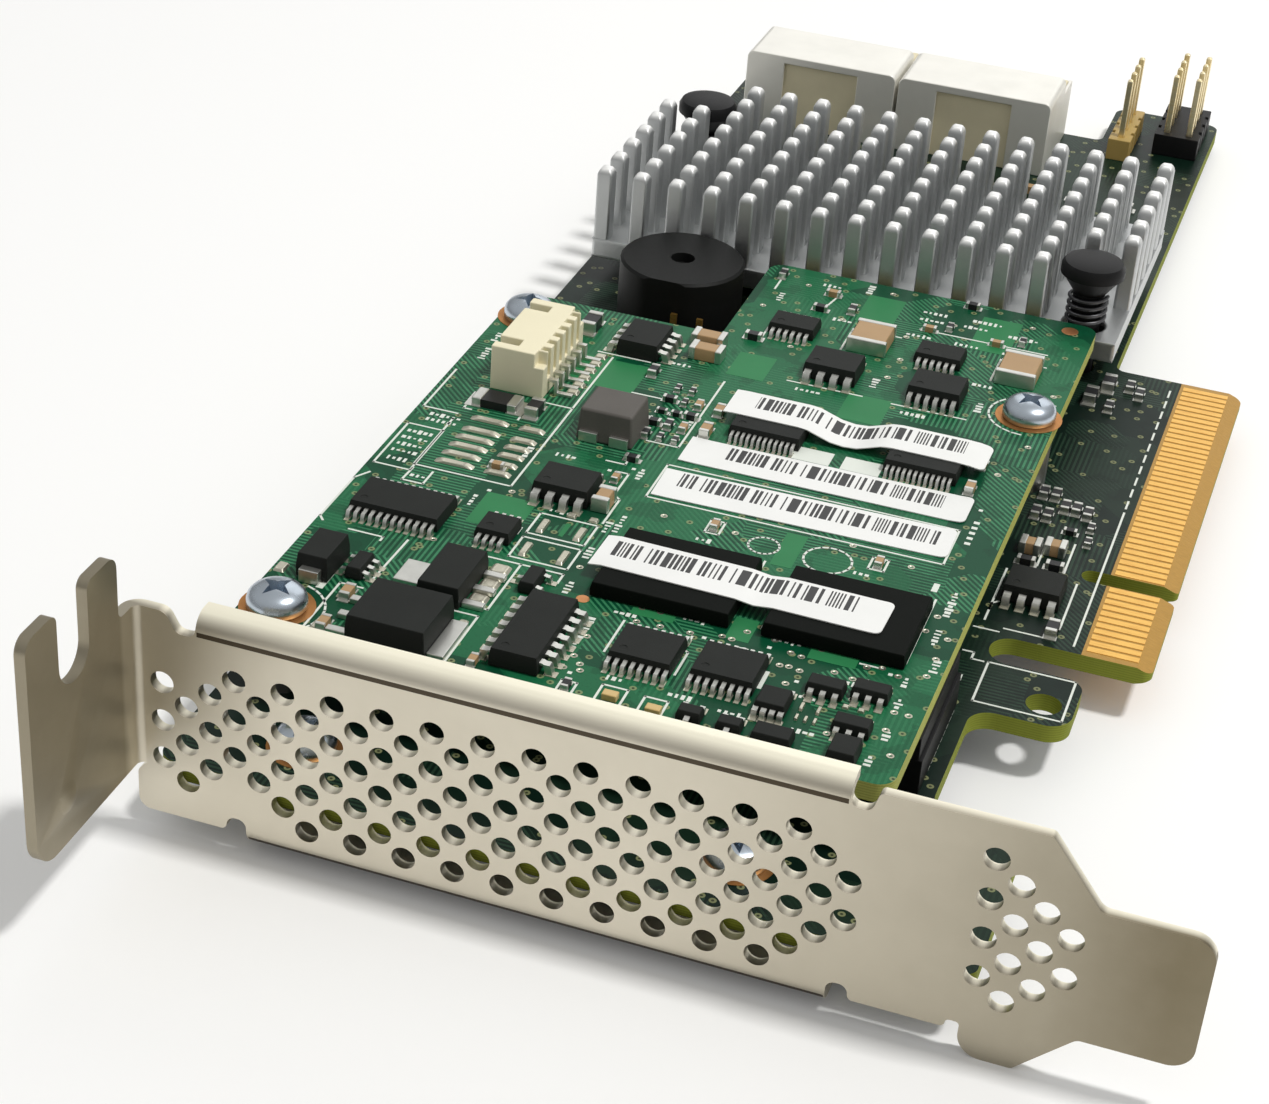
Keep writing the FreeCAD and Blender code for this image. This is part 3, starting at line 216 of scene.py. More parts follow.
def edit(piece, faces=None):
    """Opens a piece in edit mode, in face mode, with the faces selected that pass the test."""
    alone(piece)
    for face in piece.data.polygons:
        face.select = faces is None or faces(face.center * 1000, face.normal)
    for part in (piece.data.vertices, piece.data.edges):
        for item in part:
            item.select = faces is None
    bpy.ops.object.mode_set(mode="EDIT")
    bpy.ops.mesh.select_mode(type="FACE")


def done():
    bpy.ops.object.mode_set(mode="OBJECT")


def soften(piece, width, segments=2, angle=32):
    """Rounds the edges of a piece by a width in millimetres and shades it smooth."""
    alone(piece)
    if width:
        bpy.ops.object.shade_smooth()
        bevel = piece.modifiers.new("edge", "BEVEL")
        bevel.width, bevel.segments = width / 1000, segments
        bevel.limit_method, bevel.angle_limit = "ANGLE", math.radians(angle)
        bevel.use_clamp_overlap, bevel.harden_normals = True, True
        bpy.ops.object.modifier_apply(modifier="edge")
    else:
        bpy.ops.object.shade_smooth_by_angle(angle=math.radians(angle + 3))
    return piece


def coat(piece, *materials):
    piece.data.materials.clear()
    for material in materials:
        piece.data.materials.append(material)
    return piece


def dress(piece, name, slot, *materials):
    """Names a piece, gives it its finishes, and lets it ride on the card; its slot is not used."""
    piece.name = name
    if materials:
        coat(piece, *materials)
    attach(piece, "root")
    return piece


def cuboid(low, high, width=0.0, segments=1):
    """Block between two corners in millimetres, with its edges broken."""
    low, high = Vector(low), Vector(high)
    bpy.ops.mesh.primitive_cube_add(size=0.001, location=(low + high) / 2000, scale=high - low)
    piece = bpy.context.object
    bpy.ops.object.transform_apply(location=True, scale=True)
    return soften(piece, width, segments) if width else piece


def joined(pieces):
    alone(*pieces)
    bpy.ops.object.join()
    return pieces[0]


def spot(x, y, z, turn=0.0, size=(1.0, 1.0, 1.0), flip=False):
    """Place of a copy, in millimetres and degrees."""
    place = Matrix.Translation(Vector((x, y, z)) / 1000)
    place = place @ Matrix.Rotation(math.radians(turn), 4, "Z")
    if flip:
        place = place @ Matrix.Rotation(math.pi, 4, "X")
    return place @ Matrix.Diagonal(Vector(size).to_4d())


def copies(unit, places):
    """Copies of a unit part at their places, each with its own mesh, joined as one object."""
    made = []
    for place in places:
        made.append(stand(bpy.data.objects.new("copy", unit.data.copy())))
        made[-1].data.transform(place)
    bpy.data.objects.remove(unit)
    return joined(made)


def plastic(name, colour, rough, spread=0.25, grain=0.3, shine=0.35):
    """Moulded or printed surface: slightly uneven colour and a fine eroded texture."""
    f = Finish(name, {"Specular IOR Level": shine})
    cloud, grit = f.noise(0.3, 3.0), f.noise(11.0, 2.0)
    return f.worn(f.mix(shade(colour, 1 - spread), colour, cloud * 0.7 + grit * 0.3),
                  grit * 0.14 + (rough - 0.06), grit, 0.02, grain)


ink = plastic("white_ink", tone(236, 241, 232), 0.55, 0.2, 0.3)
FINE, INK_T = 0.19, 0.03  # width of a line and thickness of the ink


def pairs(*run):
    """Points from a run of x and y."""
    return list(zip(run[::2], run[1::2]))


def frame_of(x0, y0, x1, y1):
    return [(x0, y0), (x1, y0), (x1, y1), (x0, y1), (x0, y0)]


def tile():
    """Block one unit square, from just under the surface to one unit above it."""
    return cuboid((-0.5, -0.5, -0.2), (0.5, 0.5, 1.0))


def printing(name, slot, z, lines, bars=()):
    """Ink on the plane z: fine lines through points, and bars as corner pairs."""
    places = []
    for points in lines:
        for (xa, ya), (xb, yb) in zip(points, points[1:]):
            length = math.hypot(xb - xa, yb - ya)
            turn = math.degrees(math.atan2(yb - ya, xb - xa))
            places.append(spot((xa + xb) / 2, (ya + yb) / 2, z, turn,
                               (length + FINE * 0.8, FINE, INK_T)))
    for x0, y0, x1, y1 in bars:
        places.append(spot((x0 + x1) / 2, (y0 + y1) / 2, z, 0, (x1 - x0, y1 - y0, INK_T)))
    return dress(copies(tile(), places), name, slot, ink)


def dashes(x0, y0, x1, y1, count, fill=0.6):
    """Short strokes along a straight line."""
    run = []
    for n in range(count):
        a, b = n / count, (n + fill) / count
        run.append([(x0 + (x1 - x0) * a, y0 + (y1 - y0) * a),
                    (x0 + (x1 - x0) * b, y0 + (y1 - y0) * b)])
    return run


main_lines = [pairs(*run) for run in (
    (-6.7, -11.6, -6.7, 12), (-15, -16, -14.1, -16, -14.1, -17, -13.1, -17),
    (-15, -12.1, -12.9, -12.1), (-12.6, -11.4, -9.4, -11.4), (-8.3, -1.9, -8.3, -9.2),
    (-14.4, -1.9, -14.4, -9), (-14.4, -10.7, -14.4, -7.9, -13.9, -7.4), (-9.7, -0.3, -9.7, 4.6),
    (-12.1, -0.3, -12.1, 4.2))]
main_lines += [frame_of(-12.7, -22.9, -5.5, -16.9)]
main_lines += dashes(-6.7, 12.8, -6.7, 38.4, 11) + dashes(-13.8, -24.9, -13.8, -34, 9)
printing("main_board_printing", "dark_laminate", 0.0, main_lines,
         bars=[(-14.8, -22.4, -14.2, -19.6), (-9.2, -8.9, -8.6, -8.2)])


# ---- main board small parts
# Chip resistors and ceramic capacitors in rows beside the connector and under the processor,
# each a ceramic body with tinned ends on its two pads.

def bright_metal(name, colour, rough, dull=0.12, grain=0.35):
    f = Finish(name, {"Metallic": 1.0})
    cloud = f.noise(0.9, 3.0)
    return f.worn(f.mix(colour, shade(colour, 0.72), cloud * 0.7), cloud * dull + rough,
                  f.noise(9.0, 2.0), 0.012, grain)


tin = bright_metal("tin_plate", tone(226, 226, 220), 0.3, 0.16)
tan_ceramic = plastic("tan_ceramic", tone(186, 152, 110), 0.45)
black_ceramic = plastic("black_ceramic", tone(34, 34, 36), 0.4)


def chip_part(body):
    """Chip part one unit long and half a unit wide and high, seated on z = 0."""
    core = coat(cuboid((-0.3, -0.24, 0.0), (0.3, 0.24, 0.42)), body)
    ends = [coat(cuboid((side - 0.11, -0.25, 0.0), (side + 0.11, 0.25, 0.45), 0.03), tin)
            for side in (-0.39, 0.39)]
    pads = [coat(cuboid((side - 0.18, -0.29, 0.0), (side + 0.18, 0.29, 0.06)), tin)
            for side in (-0.46, 0.46)]
    return joined([core] + ends + pads)


def corners(node):
    """Lowest and highest corner of a CAD node, in millimetres."""
    return [corner * 1000 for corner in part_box(node)]


def chip_rows(z, rows):
    """Places of chip parts from their x, y, turn and length."""
    return [spot(x, y, z, turn, (long,) * 3) for x, y, turn, long in rows]


LOWER_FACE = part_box("main_board")[0].z * 1000
rng = random.Random(41)
tan_places, black_places = [], chip_rows(0, (
    (-14, 12, 90, 1.6), (-12.9, 12, 90, 1.6), (-11.7, 10.2, 90, 1.6), (-10.7, 10.2, 90, 1.6),
    (-9.6, 9.8, 90, 1.6), (-14, 8.2, 90, 1.6), (-12.9, 8.1, 90, 1.6), (-10.5, 6.2, 0, 1.2),
    (-8.9, 7.6, 90, 1.2), (-8.7, 5, 90, 1.2), (-13.1, -0.4, 0, 1.6), (-10.6, -0.3, 0, 1.6),
    (-8.8, -10.4, 90, 2), (-13.6, 32.2, 90, 2.4), (-11.6, 31, 90, 1.6), (-12.4, 35.4, 90, 2.4),
    (-10.4, 36, 90, 1.6), (-9.3, 34.8, 90, 1.6)))
processor_low = corners("raid_processor")[0]
for row in range(7):
    for column in range(9):
        x = processor_low.x + 3.2 + 3.1 * column
        y = processor_low.y + 3.0 + 3.6 * row
        turn = rng.choice((0, 90))
        if rng.random() < 0.7:
            tan_places.append(spot(x, y, LOWER_FACE, turn, (1.3,) * 3, flip=True))
for n in range(16):
    black_places.append(spot(-60.0 + 3.0 * (n % 8), 76.0 - 3.4 * (n // 8), LOWER_FACE, 90,
                             (1.3,) * 3, flip=True))
    black_places.append(spot(-26.0 + 1.6 * (n % 5), 20.0 - 4.0 * (n // 5), LOWER_FACE, 90,
                             (1.3,) * 3, flip=True))
for n in range(9):
    black_places.append(spot(-60.5 + 2.9 * n, 71.0, 0, 90, (1.6,) * 3))
    tan_places.append(spot(-61.0 + 5.3 * n, 78.6, 0, 0, (2.0,) * 3))
dress(copies(chip_part(black_ceramic), black_places), "main_board_resistors", "chip_black")
dress(copies(chip_part(tan_ceramic), tan_places), "main_board_ceramics", "ceramic_tan")


# ---- edge contacts
# Hard gold over nickel on copper, on both faces of the card edge. Inserting the card
# leaves faint wiping marks along each contact.

def gold_plate(name, colour, worn, rough):
    f = Finish(name, {"Metallic": 1.0})
    wipe = f.noise(2.2, 3.0, f.stretch(0.25, 5.0, 1.0))
    cloud = f.noise(0.5, 2.0)
    return f.worn(f.mix(colour, worn, (wipe > 0.56) * 0.5 + cloud * 0.3), wipe * 0.2 + rough,
                  wipe, 0.01, 0.4)


gold = gold_plate("contact_gold", tone(240, 194, 106), tone(224, 168, 86), 0.28)
skin("edge_contacts", gold)


# ---- bracket
# Folded from one sheet of nickel-plated steel: punched face, flanges, tab and tongue.
# The punching leaves a rolled-in rim at each hole, and handling a soft satin surface.

def reworked(node, name, slot, material, width, segments=2, angle=32, cutter=None):
    """A piece in place of a CAD node: its own shape, merged, with rounded edges."""
    piece = stand(bpy.data.objects.new(name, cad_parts[node].data.copy()))
    edit(piece)
    bpy.ops.mesh.customdata_custom_splitnormals_clear()
    bpy.ops.mesh.remove_doubles(threshold=2e-6)
    bpy.ops.mesh.dissolve_limited(angle_limit=math.radians(1.0))
    done()
    if cutter:
        carve(piece, cutter)
    soften(piece, width, segments, angle)
    dress(piece, name, slot, material)
    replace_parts(piece, node)
    return piece


def carve(piece, cutter):
    """Cuts one piece out of another and removes the cutter."""
    alone(piece)
    cut = piece.modifiers.new("cut", "BOOLEAN")
    cut.operation, cut.solver, cut.object = "DIFFERENCE", "EXACT", cutter
    bpy.ops.object.modifier_apply(modifier="cut")
    bpy.data.objects.remove(cutter)
    return piece


def sheet_metal(name, colour, stain_and_shade, rough):
    """Plated sheet: cloudy sheen, fine rolling grain and a few handling marks, with painted shade
    towards its ends and its tab, painted shade lines along its bends and a painted highlight on
    its top flange.
    """
    f = Finish(name, {"Metallic": 1.0})
    streaks = f.noise(2.5, 4.0, f.stretch(0.12, 1.0, 3.0))
    cloud = f.noise(0.06, 3.0)
    grit = f.noise(6.0, 2.0)
    marks = f.noise(0.55, 5.0)
    x, y, z = f.parts(f.place)
    # Painted shade: darker towards the right end, on the tongue, on the tab and at the left end
    # near the tab's fold, placed by position.
    slot_end = (x * 0.03 + 0.90).limited()
    tongue = (x * 0.12).limited()
    tab_end = ((y + 58.0) * -0.7).limited()
    fold = ((x + 56.0) * -0.12).limited()
    fold = fold * ((z + 1.0) * 0.14).limited()
    painted_shade = (slot_end * 0.7 + tongue * 0.3 + fold * 0.5).math("MAXIMUM", tab_end * 0.78)
    # Painted highlight: the upward faces behind the face plate, on the top flange, turn near white
    # and less metallic, and lose the painted shade.
    inward = ((y + 57.0) * 1.2).limited()
    flat = (f.parts(f.node("ShaderNodeNewGeometry", out="Normal"))[2] > 0.35) * inward
    painted_shade = painted_shade * (1 - flat * 0.9)
    # Painted shade: dark brown lines along the top bend and along the bottom bend.
    top_bend_shade = (z > 12.6) * (z < 13.0) * (x > -63.3) * (x < -15.1)
    under = (z < -4.2) * (x > -59.5) * (x < -15.1)
    # The stain tone carries the painted shade as well as the cloud and the few real marks.
    sheet = f.mix(colour, stain_and_shade, painted_shade * 0.85 + cloud * 0.14 + marks * 0.05)
    sheet = f.mix(sheet, tone(52, 40, 24), (top_bend_shade + under) * 0.92)
    f.feed("Metallic", 1.0 - flat * 0.65)
    return f.worn(f.mix(sheet, tone(255, 250, 228), flat * 0.9),
                  cloud * 0.14 + marks * 0.05 + rough - flat * 0.1,
                  streaks + grit * 0.6, 0.012, 0.5)


nickel = sheet_metal("satin_nickel", tone(226, 219, 202), tone(128, 118, 95), 0.34)
PUNCH_R = 0.935
PUNCH_PITCH_X, PUNCH_PITCH_Z = 1.918, 1.67
FIRST_PUNCH_X, TOP_PUNCH_Z = -66.18, 9.54
FLANGE_SHOWN = 2.15       # from the face to the flange's edge
bpy.ops.mesh.primitive_cylinder_add(vertices=24, radius=PUNCH_R / 1000, depth=0.004,
                                    rotation=(math.pi / 2, 0, 0))
punch = bpy.context.object
bpy.ops.object.transform_apply(rotation=True)
spans = {0: (1, 5), 1: (2, 6), 2: (1, 5), 3: (0, 4), 4: (1, 5), 26: (1, 5), 27: (2, 4),
         32: (-1, 5), 33: (0, 6), 34: (1, 5), 35: (2, 4)}
for column in range(5, 26):
    spans[column] = (0, 6) if column % 2 else (1, 7)
face_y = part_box("main_board")[0].y * 1000 - 1.2
punches = [spot(FIRST_PUNCH_X + PUNCH_PITCH_X * column, face_y,
                TOP_PUNCH_Z - PUNCH_PITCH_Z * level)
           for column, (first, last) in spans.items() for level in range(first, last + 1, 2)]
trim = cuboid((-64.6, face_y + FLANGE_SHOWN, 12.0), (-14.0, face_y + 8.0, 16.0))
reworked("bracket", "bracket_sheet", "nickel_steel", nickel, 0.13, 2, 40,
         cutter=joined([copies(punch, punches), trim]))


# ---- screws and standoffs
# Pan head machine screws, bright zinc over a blue chromate, with a cross recess.
# Three hold the daughter board to its standoffs, three come from below, two hold the bracket.

def face_outward():
    bpy.ops.mesh.select_all(action="SELECT")
    bpy.ops.mesh.normals_make_consistent(inside=False)
    done()


def pull(x, y, z):
    """Extrudes the selected faces by a move in millimetres."""
    bpy.ops.mesh.extrude_region_move(
        TRANSFORM_OT_translate={"value": (x / 1000, y / 1000, z / 1000)})


def lathe(rings, x=0.0, y=0.0, sides=32):
    """Turned solid on a vertical axis, through (radius, height) rings in millimetres."""
    (radius, height), rest = rings[0], rings[1:]
    centre = Vector((x, y, height)) / 1000
    bpy.ops.mesh.primitive_circle_add(vertices=sides, radius=radius / 1000, fill_type="NGON",
                                      location=centre)
    piece = bpy.context.object
    bpy.ops.object.transform_apply(location=True)
    edit(piece)
    for wide, high in rest:
        pull(0, 0, high - height)
        bpy.ops.transform.resize(value=(wide / radius, wide / radius, 1),
                                 center_override=Vector((x, y, high)) / 1000)
        radius, height = wide, high
    face_outward()
    return piece


def solids(node):
    """Lowest and highest corner of each solid of a CAD node, in millimetres, front ones first."""
    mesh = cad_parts[node].data
    keys = [tuple(round(c * 1e6) for c in v.co) for v in mesh.vertices]
    group = {key: key for key in keys}

    def head(key):
        while group[key] != key:
            group[key] = group[group[key]]
            key = group[key]
        return key

    for face in mesh.polygons:
        first = head(keys[face.vertices[0]])
        for corner in face.vertices:
            group[head(keys[corner])] = first
    corners = {}
    for key in group:
        corners.setdefault(head(key), []).append(key)
    boxes = [(Vector(map(min, *points)) / 1000, Vector(map(max, *points)) / 1000)
             for points in corners.values()]
    return sorted(boxes, key=lambda b: (round(b[0].y, 2), round(b[0].x, 2)))


def centre_of(low, high):
    return (low.x + high.x) / 2, (low.y + high.y) / 2


zinc = bright_metal("bright_zinc", tone(202, 212, 222), 0.22, 0.12)
HEAD_R, HEAD_H = 2.4, 1.9


def pan_head():
    """Domed head with a rolled rim and a tapered cross recess, seated on z = 0."""
    head = lathe([(HEAD_R * 0.94, 0), (HEAD_R, 0.22), (HEAD_R, 0.75), (HEAD_R * 0.95, 1.15),
                  (HEAD_R * 0.82, 1.5), (HEAD_R * 0.6, 1.75), (HEAD_R * 0.3, HEAD_H)], sides=40)
    for turn in (0, 90):
        bpy.ops.mesh.primitive_cone_add(vertices=4, radius1=0.0007, radius2=0.0021, depth=0.0024,
                                        location=(0, 0, 0.0016), rotation=(0, 0, math.radians(45)))
        wing = bpy.context.object
        wing.scale = (1.0, 0.36, 1.0)
        bpy.ops.object.transform_apply(location=True, rotation=True, scale=True)
        wing.data.transform(Matrix.Rotation(math.radians(turn + 20), 4, "Z"))
        carve(head, wing)
    return soften(head, 0.0, angle=32)


screw_sets = {
    "cache_board_screws": ("daughter_board_screws", False),
    "standoff_screws": ("underside_screws", True),
    "bracket_screws": ("bracket_lug_screws", False),
}
RING_R = 3.0
ring_places = []
for number, (node, (name, below)) in enumerate(screw_sets.items()):
    places, shanks = [], []
    for turn, (low, high) in enumerate(solids(node)):
        x, y = centre_of(low, high)
        seat = low.z + HEAD_H if below else high.z - HEAD_H
        places.append(spot(x, y, seat, 37 * turn + 50 * number, flip=below))
        ring_places.append(spot(x, y, seat, 0, flip=below))
        far = high.z if below else low.z
        ends = sorted((seat, far))
        shanks.append(lathe([(1.05, ends[0]), (1.25, ends[0] + 0.3), (1.25, ends[1])], x, y, 16))
    heads = copies(pan_head(), places)
    screws = joined([heads] + shanks)
    dress(screws, name, "zinc_screws", zinc)
    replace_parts(screws, node)

copper = bright_metal("tinned_copper", tone(206, 146, 88), 0.36, 0.2)
rings = copies(lathe([(RING_R, 0), (RING_R, 0.05), (HEAD_R - 0.4, 0.07)], sides=32), ring_places)
dress(soften(rings, 0.0), "copper_rings", "gold", copper)
skin("standoffs", bright_metal("standoff_steel", tone(198, 198, 196), 0.3))


# ---- daughter board
# Green laminate with a yellow-green routed edge, on three standoffs above the main board.
# Clear patches of copper under the mask, a fiducial and bare pads lie between its parts.

skin("cache_board", solder_mask("green_solder_mask", tone(9, 72, 46), tone(28, 104, 66),
                                tone(66, 140, 98), tone(186, 190, 104), (11.3, 2.9, 0.0)))
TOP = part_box("cache_board")[1].z * 1000

PATCH_T = 0.015
patch_green = plastic("mask_over_copper", tone(50, 132, 82), 0.42, 0.25, 0.2, 0.15)
patches = [
    (-24.4, -32.3, -20.6, -30.6), (-38.8, -32.1, -35.3, -30.7), (-31, -32.3, -29.1, -29),
    (-55.6, -24.6, -51.2, -19.4), (-47.9, -23.6, -47.5, -21.4), (-56.6, 2.2, -50.4, 7.6),
    (-43.9, 9.6, -40.4, 14.4), (-32.6, 6, -28.6, 11), (-27.4, -12, -22.8, -9),
    (-30.9, -20.4, -29.1, -15), (-36, 25.5, -32.4, 31.5), (-24.8, 24.6, -21, 31.8)]
dress(copies(tile(), [spot((x0 + x1) / 2, (y0 + y1) / 2, TOP, 0, (x1 - x0, y1 - y0, PATCH_T))
                      for x0, y0, x1, y1 in patches]),
      "mask_patches", "green_laminate", patch_green)


def arc(x, y, r, *degrees):
    """Points round a middle, at a range of degrees."""
    return [(x + r * math.cos(math.radians(a)), y + r * math.sin(math.radians(a)))
            for a in range(*degrees)]


outlines = [pairs(*run) for run in (
    (-63, -8, -66.2, -8, -66.2, -0.4),
    (-57.6, -2.8, -54.2, -2.8, -54.2, -17.8, -63, -17.8, -63, -9),
    (-62.6, -2.8, -62.9, -2.8, -62.9, -6.8, -62.2, -6.8), (-57.8, -2.8, -57.8, -6.8),
    (-65.8, -20.6, -66.6, -22, -66.6, -28.8, -66.1, -29.4),
    (-62.8, -18.4, -62.9, -20.6, -61, -20.6, -61, -18.4),
    (-63.6, -29.8, -60.6, -29.8, -60.6, -30.4), (-52.4, -29, -49, -29, -49, -36.3),
    (-48.8, -29, -45.4, -29, -45.4, -30.4), (-49, -36.3, -52.4, -36.3),
    (-52, -37.5, -49.3, -37.5, -49.3, -44.6), (-62.2, -36.1, -58.8, -36.1, -58.6, -29.4),
    (-60.9, -44.4, -60.9, -37.5, -59, -37.5), (-46.9, -42.6, -43.4, -42.6),
    (-47.4, -1, -47.4, -7.4), (-43.5, 8, -43.5, -5.4, -46.4, -5.4),
    (-46.8, -8.4, -46.7, -10.2, -48.4, -10.2),
    (-47, -12.4, -47, -11.6, -45.9, -11.6, -45.9, -15.4, -45.2, -16, -45.2, -20.2),
    (-54.2, 8, -54.2, -2.6), (-50.4, 2.4, -47.3, 2.4), (-55.8, 8.6, -50.8, 8.6),
    (-31.3, -20.2, -31.3, -21.6), (-40.9, -29.9, -31.3, -29.9, -31.3, -28.2),
    (-28.7, -29, -28.7, -29.9, -17.2, -29.9, -17.2, -20), (-38.8, -33.3, -38.8, -38),
    (-33.3, -33.2, -33.3, -35.2, -32.9, -35.5, -32.9, -38.8),
    (-26, -37.9, -26, -39.3, -24, -39.3), (-20.4, -31.4, -18.6, -31.4),
    (-37.4, -44.6, -37.4, -42.2, -35.4, -42.2, -35.4, -44.6),
    (-34, -44.6, -34, -42.4, -32.2, -42.4, -32.2, -44.6),
    (-40.4, -44.6, -40.4, -42.9, -39.2, -42.9, -39.2, -44.6),
    (-35.6, 19, -35.6, 23.8, -31, 23.8), (-21.4, 19, -21.4, 23.8, -17.2, 23.8),
    (-38.4, 10.8, -31.4, 10.8), (-28.6, 10.6, -21.8, 10.6), (-44.8, 28.6, -44.8, 32.4),
    (-39.4, 26, -38.6, 30.4), (-29.8, 26.4, -17.6, 26.4), (-43, 17.4, -43, 24))]
outlines += [frame_of(*box) for box in (
    (-66.2, -18.9, -62.9, -11.4), (-50.4, -24.2, -45.4, -20.8), (-50.4, -28.2, -45.4, -24.9),
    (-37.2, -17.9, -36, -15.8), (-23.4, -17.7, -22.1, -15.8), (-43.4, -14.5, -17.9, -8.6))]
outlines += [
    arc(-63.9, -42.6, 3.7, -70, 75, 12), arc(-16.7, 13.6, 3.6, 60, 285, 15),
    arc(-32.1, -17.9, 1.3, 0, 361, 20), arc(-26.7, -17.9, 2, 0, 361, 20)]
marks = [
    (-62.4, -38.9, -61.8, -36), (-57.7, -26.3, -57, -24), (-51.2, -24.8, -50.9, -23.6),
    (-26.9, -37.9, -26.4, -35.4), (-17.6, -35.3, -17.1, -34.3), (-34.2, -2.9, -30.8, -0.6),
    (-29.8, -2.9, -26.4, -0.6), (-17.9, -18.9, -17.4, -17.6)]
marks += [(x - 0.17, y - 0.17, x + 0.17, y + 0.17) for x, y in (
    (-32.4, -33), (-27.4, -32.2), (-17.9, -31.9), (-24.2, -35.8), (-22.4, -37.6),
    (-19.9, -37.5), (-40.2, -41.8), (-55.6, -19.2), (-45.8, -10.6), (-47.6, -11.7),
    (-17, -4.6))]
marks += [(-17.1, -7.0 - 0.9 * n, -16.6, -6.6 - 0.9 * n) for n in range(5)]
# Rows of short strokes stand where a board carries its reference marks.
for x, y, turn, count in (
    (-65, -9, 0, 6), (-65, -10, 0, 6), (-65.6, -12.6, 0, 5), (-65.6, -13.8, 0, 5),
    (-65.6, -15, 0, 5), (-65.6, -16.2, 0, 5), (-65.4, -17.6, 0, 4), (-62.4, -19.6, 0, 3),
    (-56.3, -22, 90, 4), (-49.8, -20, 0, 4), (-55, -13, 90, 5), (-45, -12, 90, 4),
    (-52.6, -11, 0, 4), (-44.7, -21.4, 90, 4), (-44.7, -25.8, 90, 4), (-54.6, -29, 0, 4),
    (-44.4, -31.4, 90, 4), (-43.6, -33.6, 0, 3), (-48.6, -45.2, 0, 4), (-41.2, -35.6, 90, 4),
    (-41.2, -38.4, 90, 4), (-39.8, -32.4, 0, 4), (-34.6, -31, 0, 4), (-27.4, -30.9, 0, 5),
    (-24.4, -37.6, 0, 3), (-29.4, -33.2, 0, 4), (-21.6, -34.4, 0, 4), (-19.8, -33.6, 0, 4),
    (-16.6, -33, 90, 3), (-16.4, -36, 90, 3), (-16.2, -40.4, 90, 3), (-16.6, -44, 90, 3),
    (-22.8, -42, 0, 4), (-28.4, -41.9, 0, 4), (-32.4, -41.4, 0, 4), (-37.4, -41.2, 0, 3),
    (-43.9, -21, 90, 6), (-15.9, -22, 90, 8), (-15.9, -26.4, 90, 5), (-15, -30.2, 90, 4),
    (-37.4, -19.2, 0, 3), (-24.2, -18.8, 0, 3), (-43.9, -1.6, 90, 4), (-65, 2.6, 90, 5),
    (-65.2, 6.4, 90, 4), (-48.8, 9.4, 0, 4), (-37.2, 9.6, 0, 5), (-27.4, 9.4, 0, 5),
    (-31, 13, 90, 4), (-21.2, 12.6, 90, 4), (-37.8, 24.8, 0, 4), (-34, 24.8, 0, 4),
    (-30.6, 24.9, 0, 5), (-26, 24.9, 0, 5), (-21.4, 24.9, 0, 5), (-30.2, 28.6, 0, 5),
    (-26, 28.9, 0, 5), (-21.6, 28.6, 0, 6), (-30.2, 30.2, 0, 5), (-25.4, 30.4, 0, 6),
    (-40.6, 31.6, 0, 4), (-43.8, 26.4, 90, 4), (-36.2, 31.8, 90, 4), (-36.6, 17.6, 0, 4),
    (-22.6, 17.6, 0, 4)):
    across, along = math.cos(math.radians(turn)), math.sin(math.radians(turn))
    for n in range(count):
        cx, cy = x + 0.5 * n * across, y + 0.5 * n * along
        tall = 0.1 + 0.26 * rng.random()
        wide = 0.09 + 0.1 * rng.random()
        marks.append((cx - wide * across - tall * along, cy - tall * across - wide * along,
                      cx + wide * across + tall * along, cy + tall * across + wide * along))
printing("daughter_board_printing", "green_laminate", TOP, outlines, marks)


# ---- pads and vias
# Solder-coated pads without parts, test points and open vias of the daughter board.
# The solder stands a little proud of each pad, as it wetted it.

solder = bright_metal("solder", tone(224, 220, 202), 0.34, 0.2, 0.5)
pads = []
for row in (-16.3, -14.75, -13.2, -11.7, -10.2, -8.1):
    pads += [(-59.9, row, 3.7, 0.75), (-56.0, row, 2.5, 0.75)]
for row in (-22.7, -26.7):
    pads += [(-49.5, row, 0.7, 2.3), (-46.3, row, 0.7, 2.3)]
pads += [
    (-50.2, -30.5, 1.7, 1.5), (-50.2, -32.9, 1.7, 1.5), (-50.2, -35.2, 1.7, 1.3),
    (-50, -39.8, 0.8, 2.9), (-50, -43.4, 0.8, 2.4), (-59.9, -38.9, 1.1, 1.3),
    (-59.9, -43.8, 1.1, 1.3), (-66, -37.4, 1, 1.4), (-47.9, -20.2, 0.9, 0.7),
    (-46, -20.2, 0.9, 0.7), (-22.9, -38.9, 0.35, 1.1), (-21.6, -38.9, 0.35, 1.1),
    (-22.9, -40.4, 0.3, 0.8), (-22.2, -40.4, 0.3, 0.8), (-21.5, -40.4, 0.3, 0.8),
    (-19.9, -37.6, 0.6, 0.5), (-18.7, -37.6, 0.6, 0.5)]
pads += [(-55.2, 7.6 - 1.5 * n, 1.2, 0.9) for n in range(6)]
pad = tile()
edit(pad, lambda c, n: n.z > 0.5)
bpy.ops.transform.resize(value=(0.7, 0.8, 1.0), center_override=(0, 0, 0.001))
done()
soften(pad, 0.12, 2)
pieces = [copies(pad, [spot(x, y, TOP, 0, (dx, dy, 0.22)) for x, y, dx, dy in pads])]
dots = [(-42.8, -31.7, 1.1), (-16.6, 32.4, 1.6)]
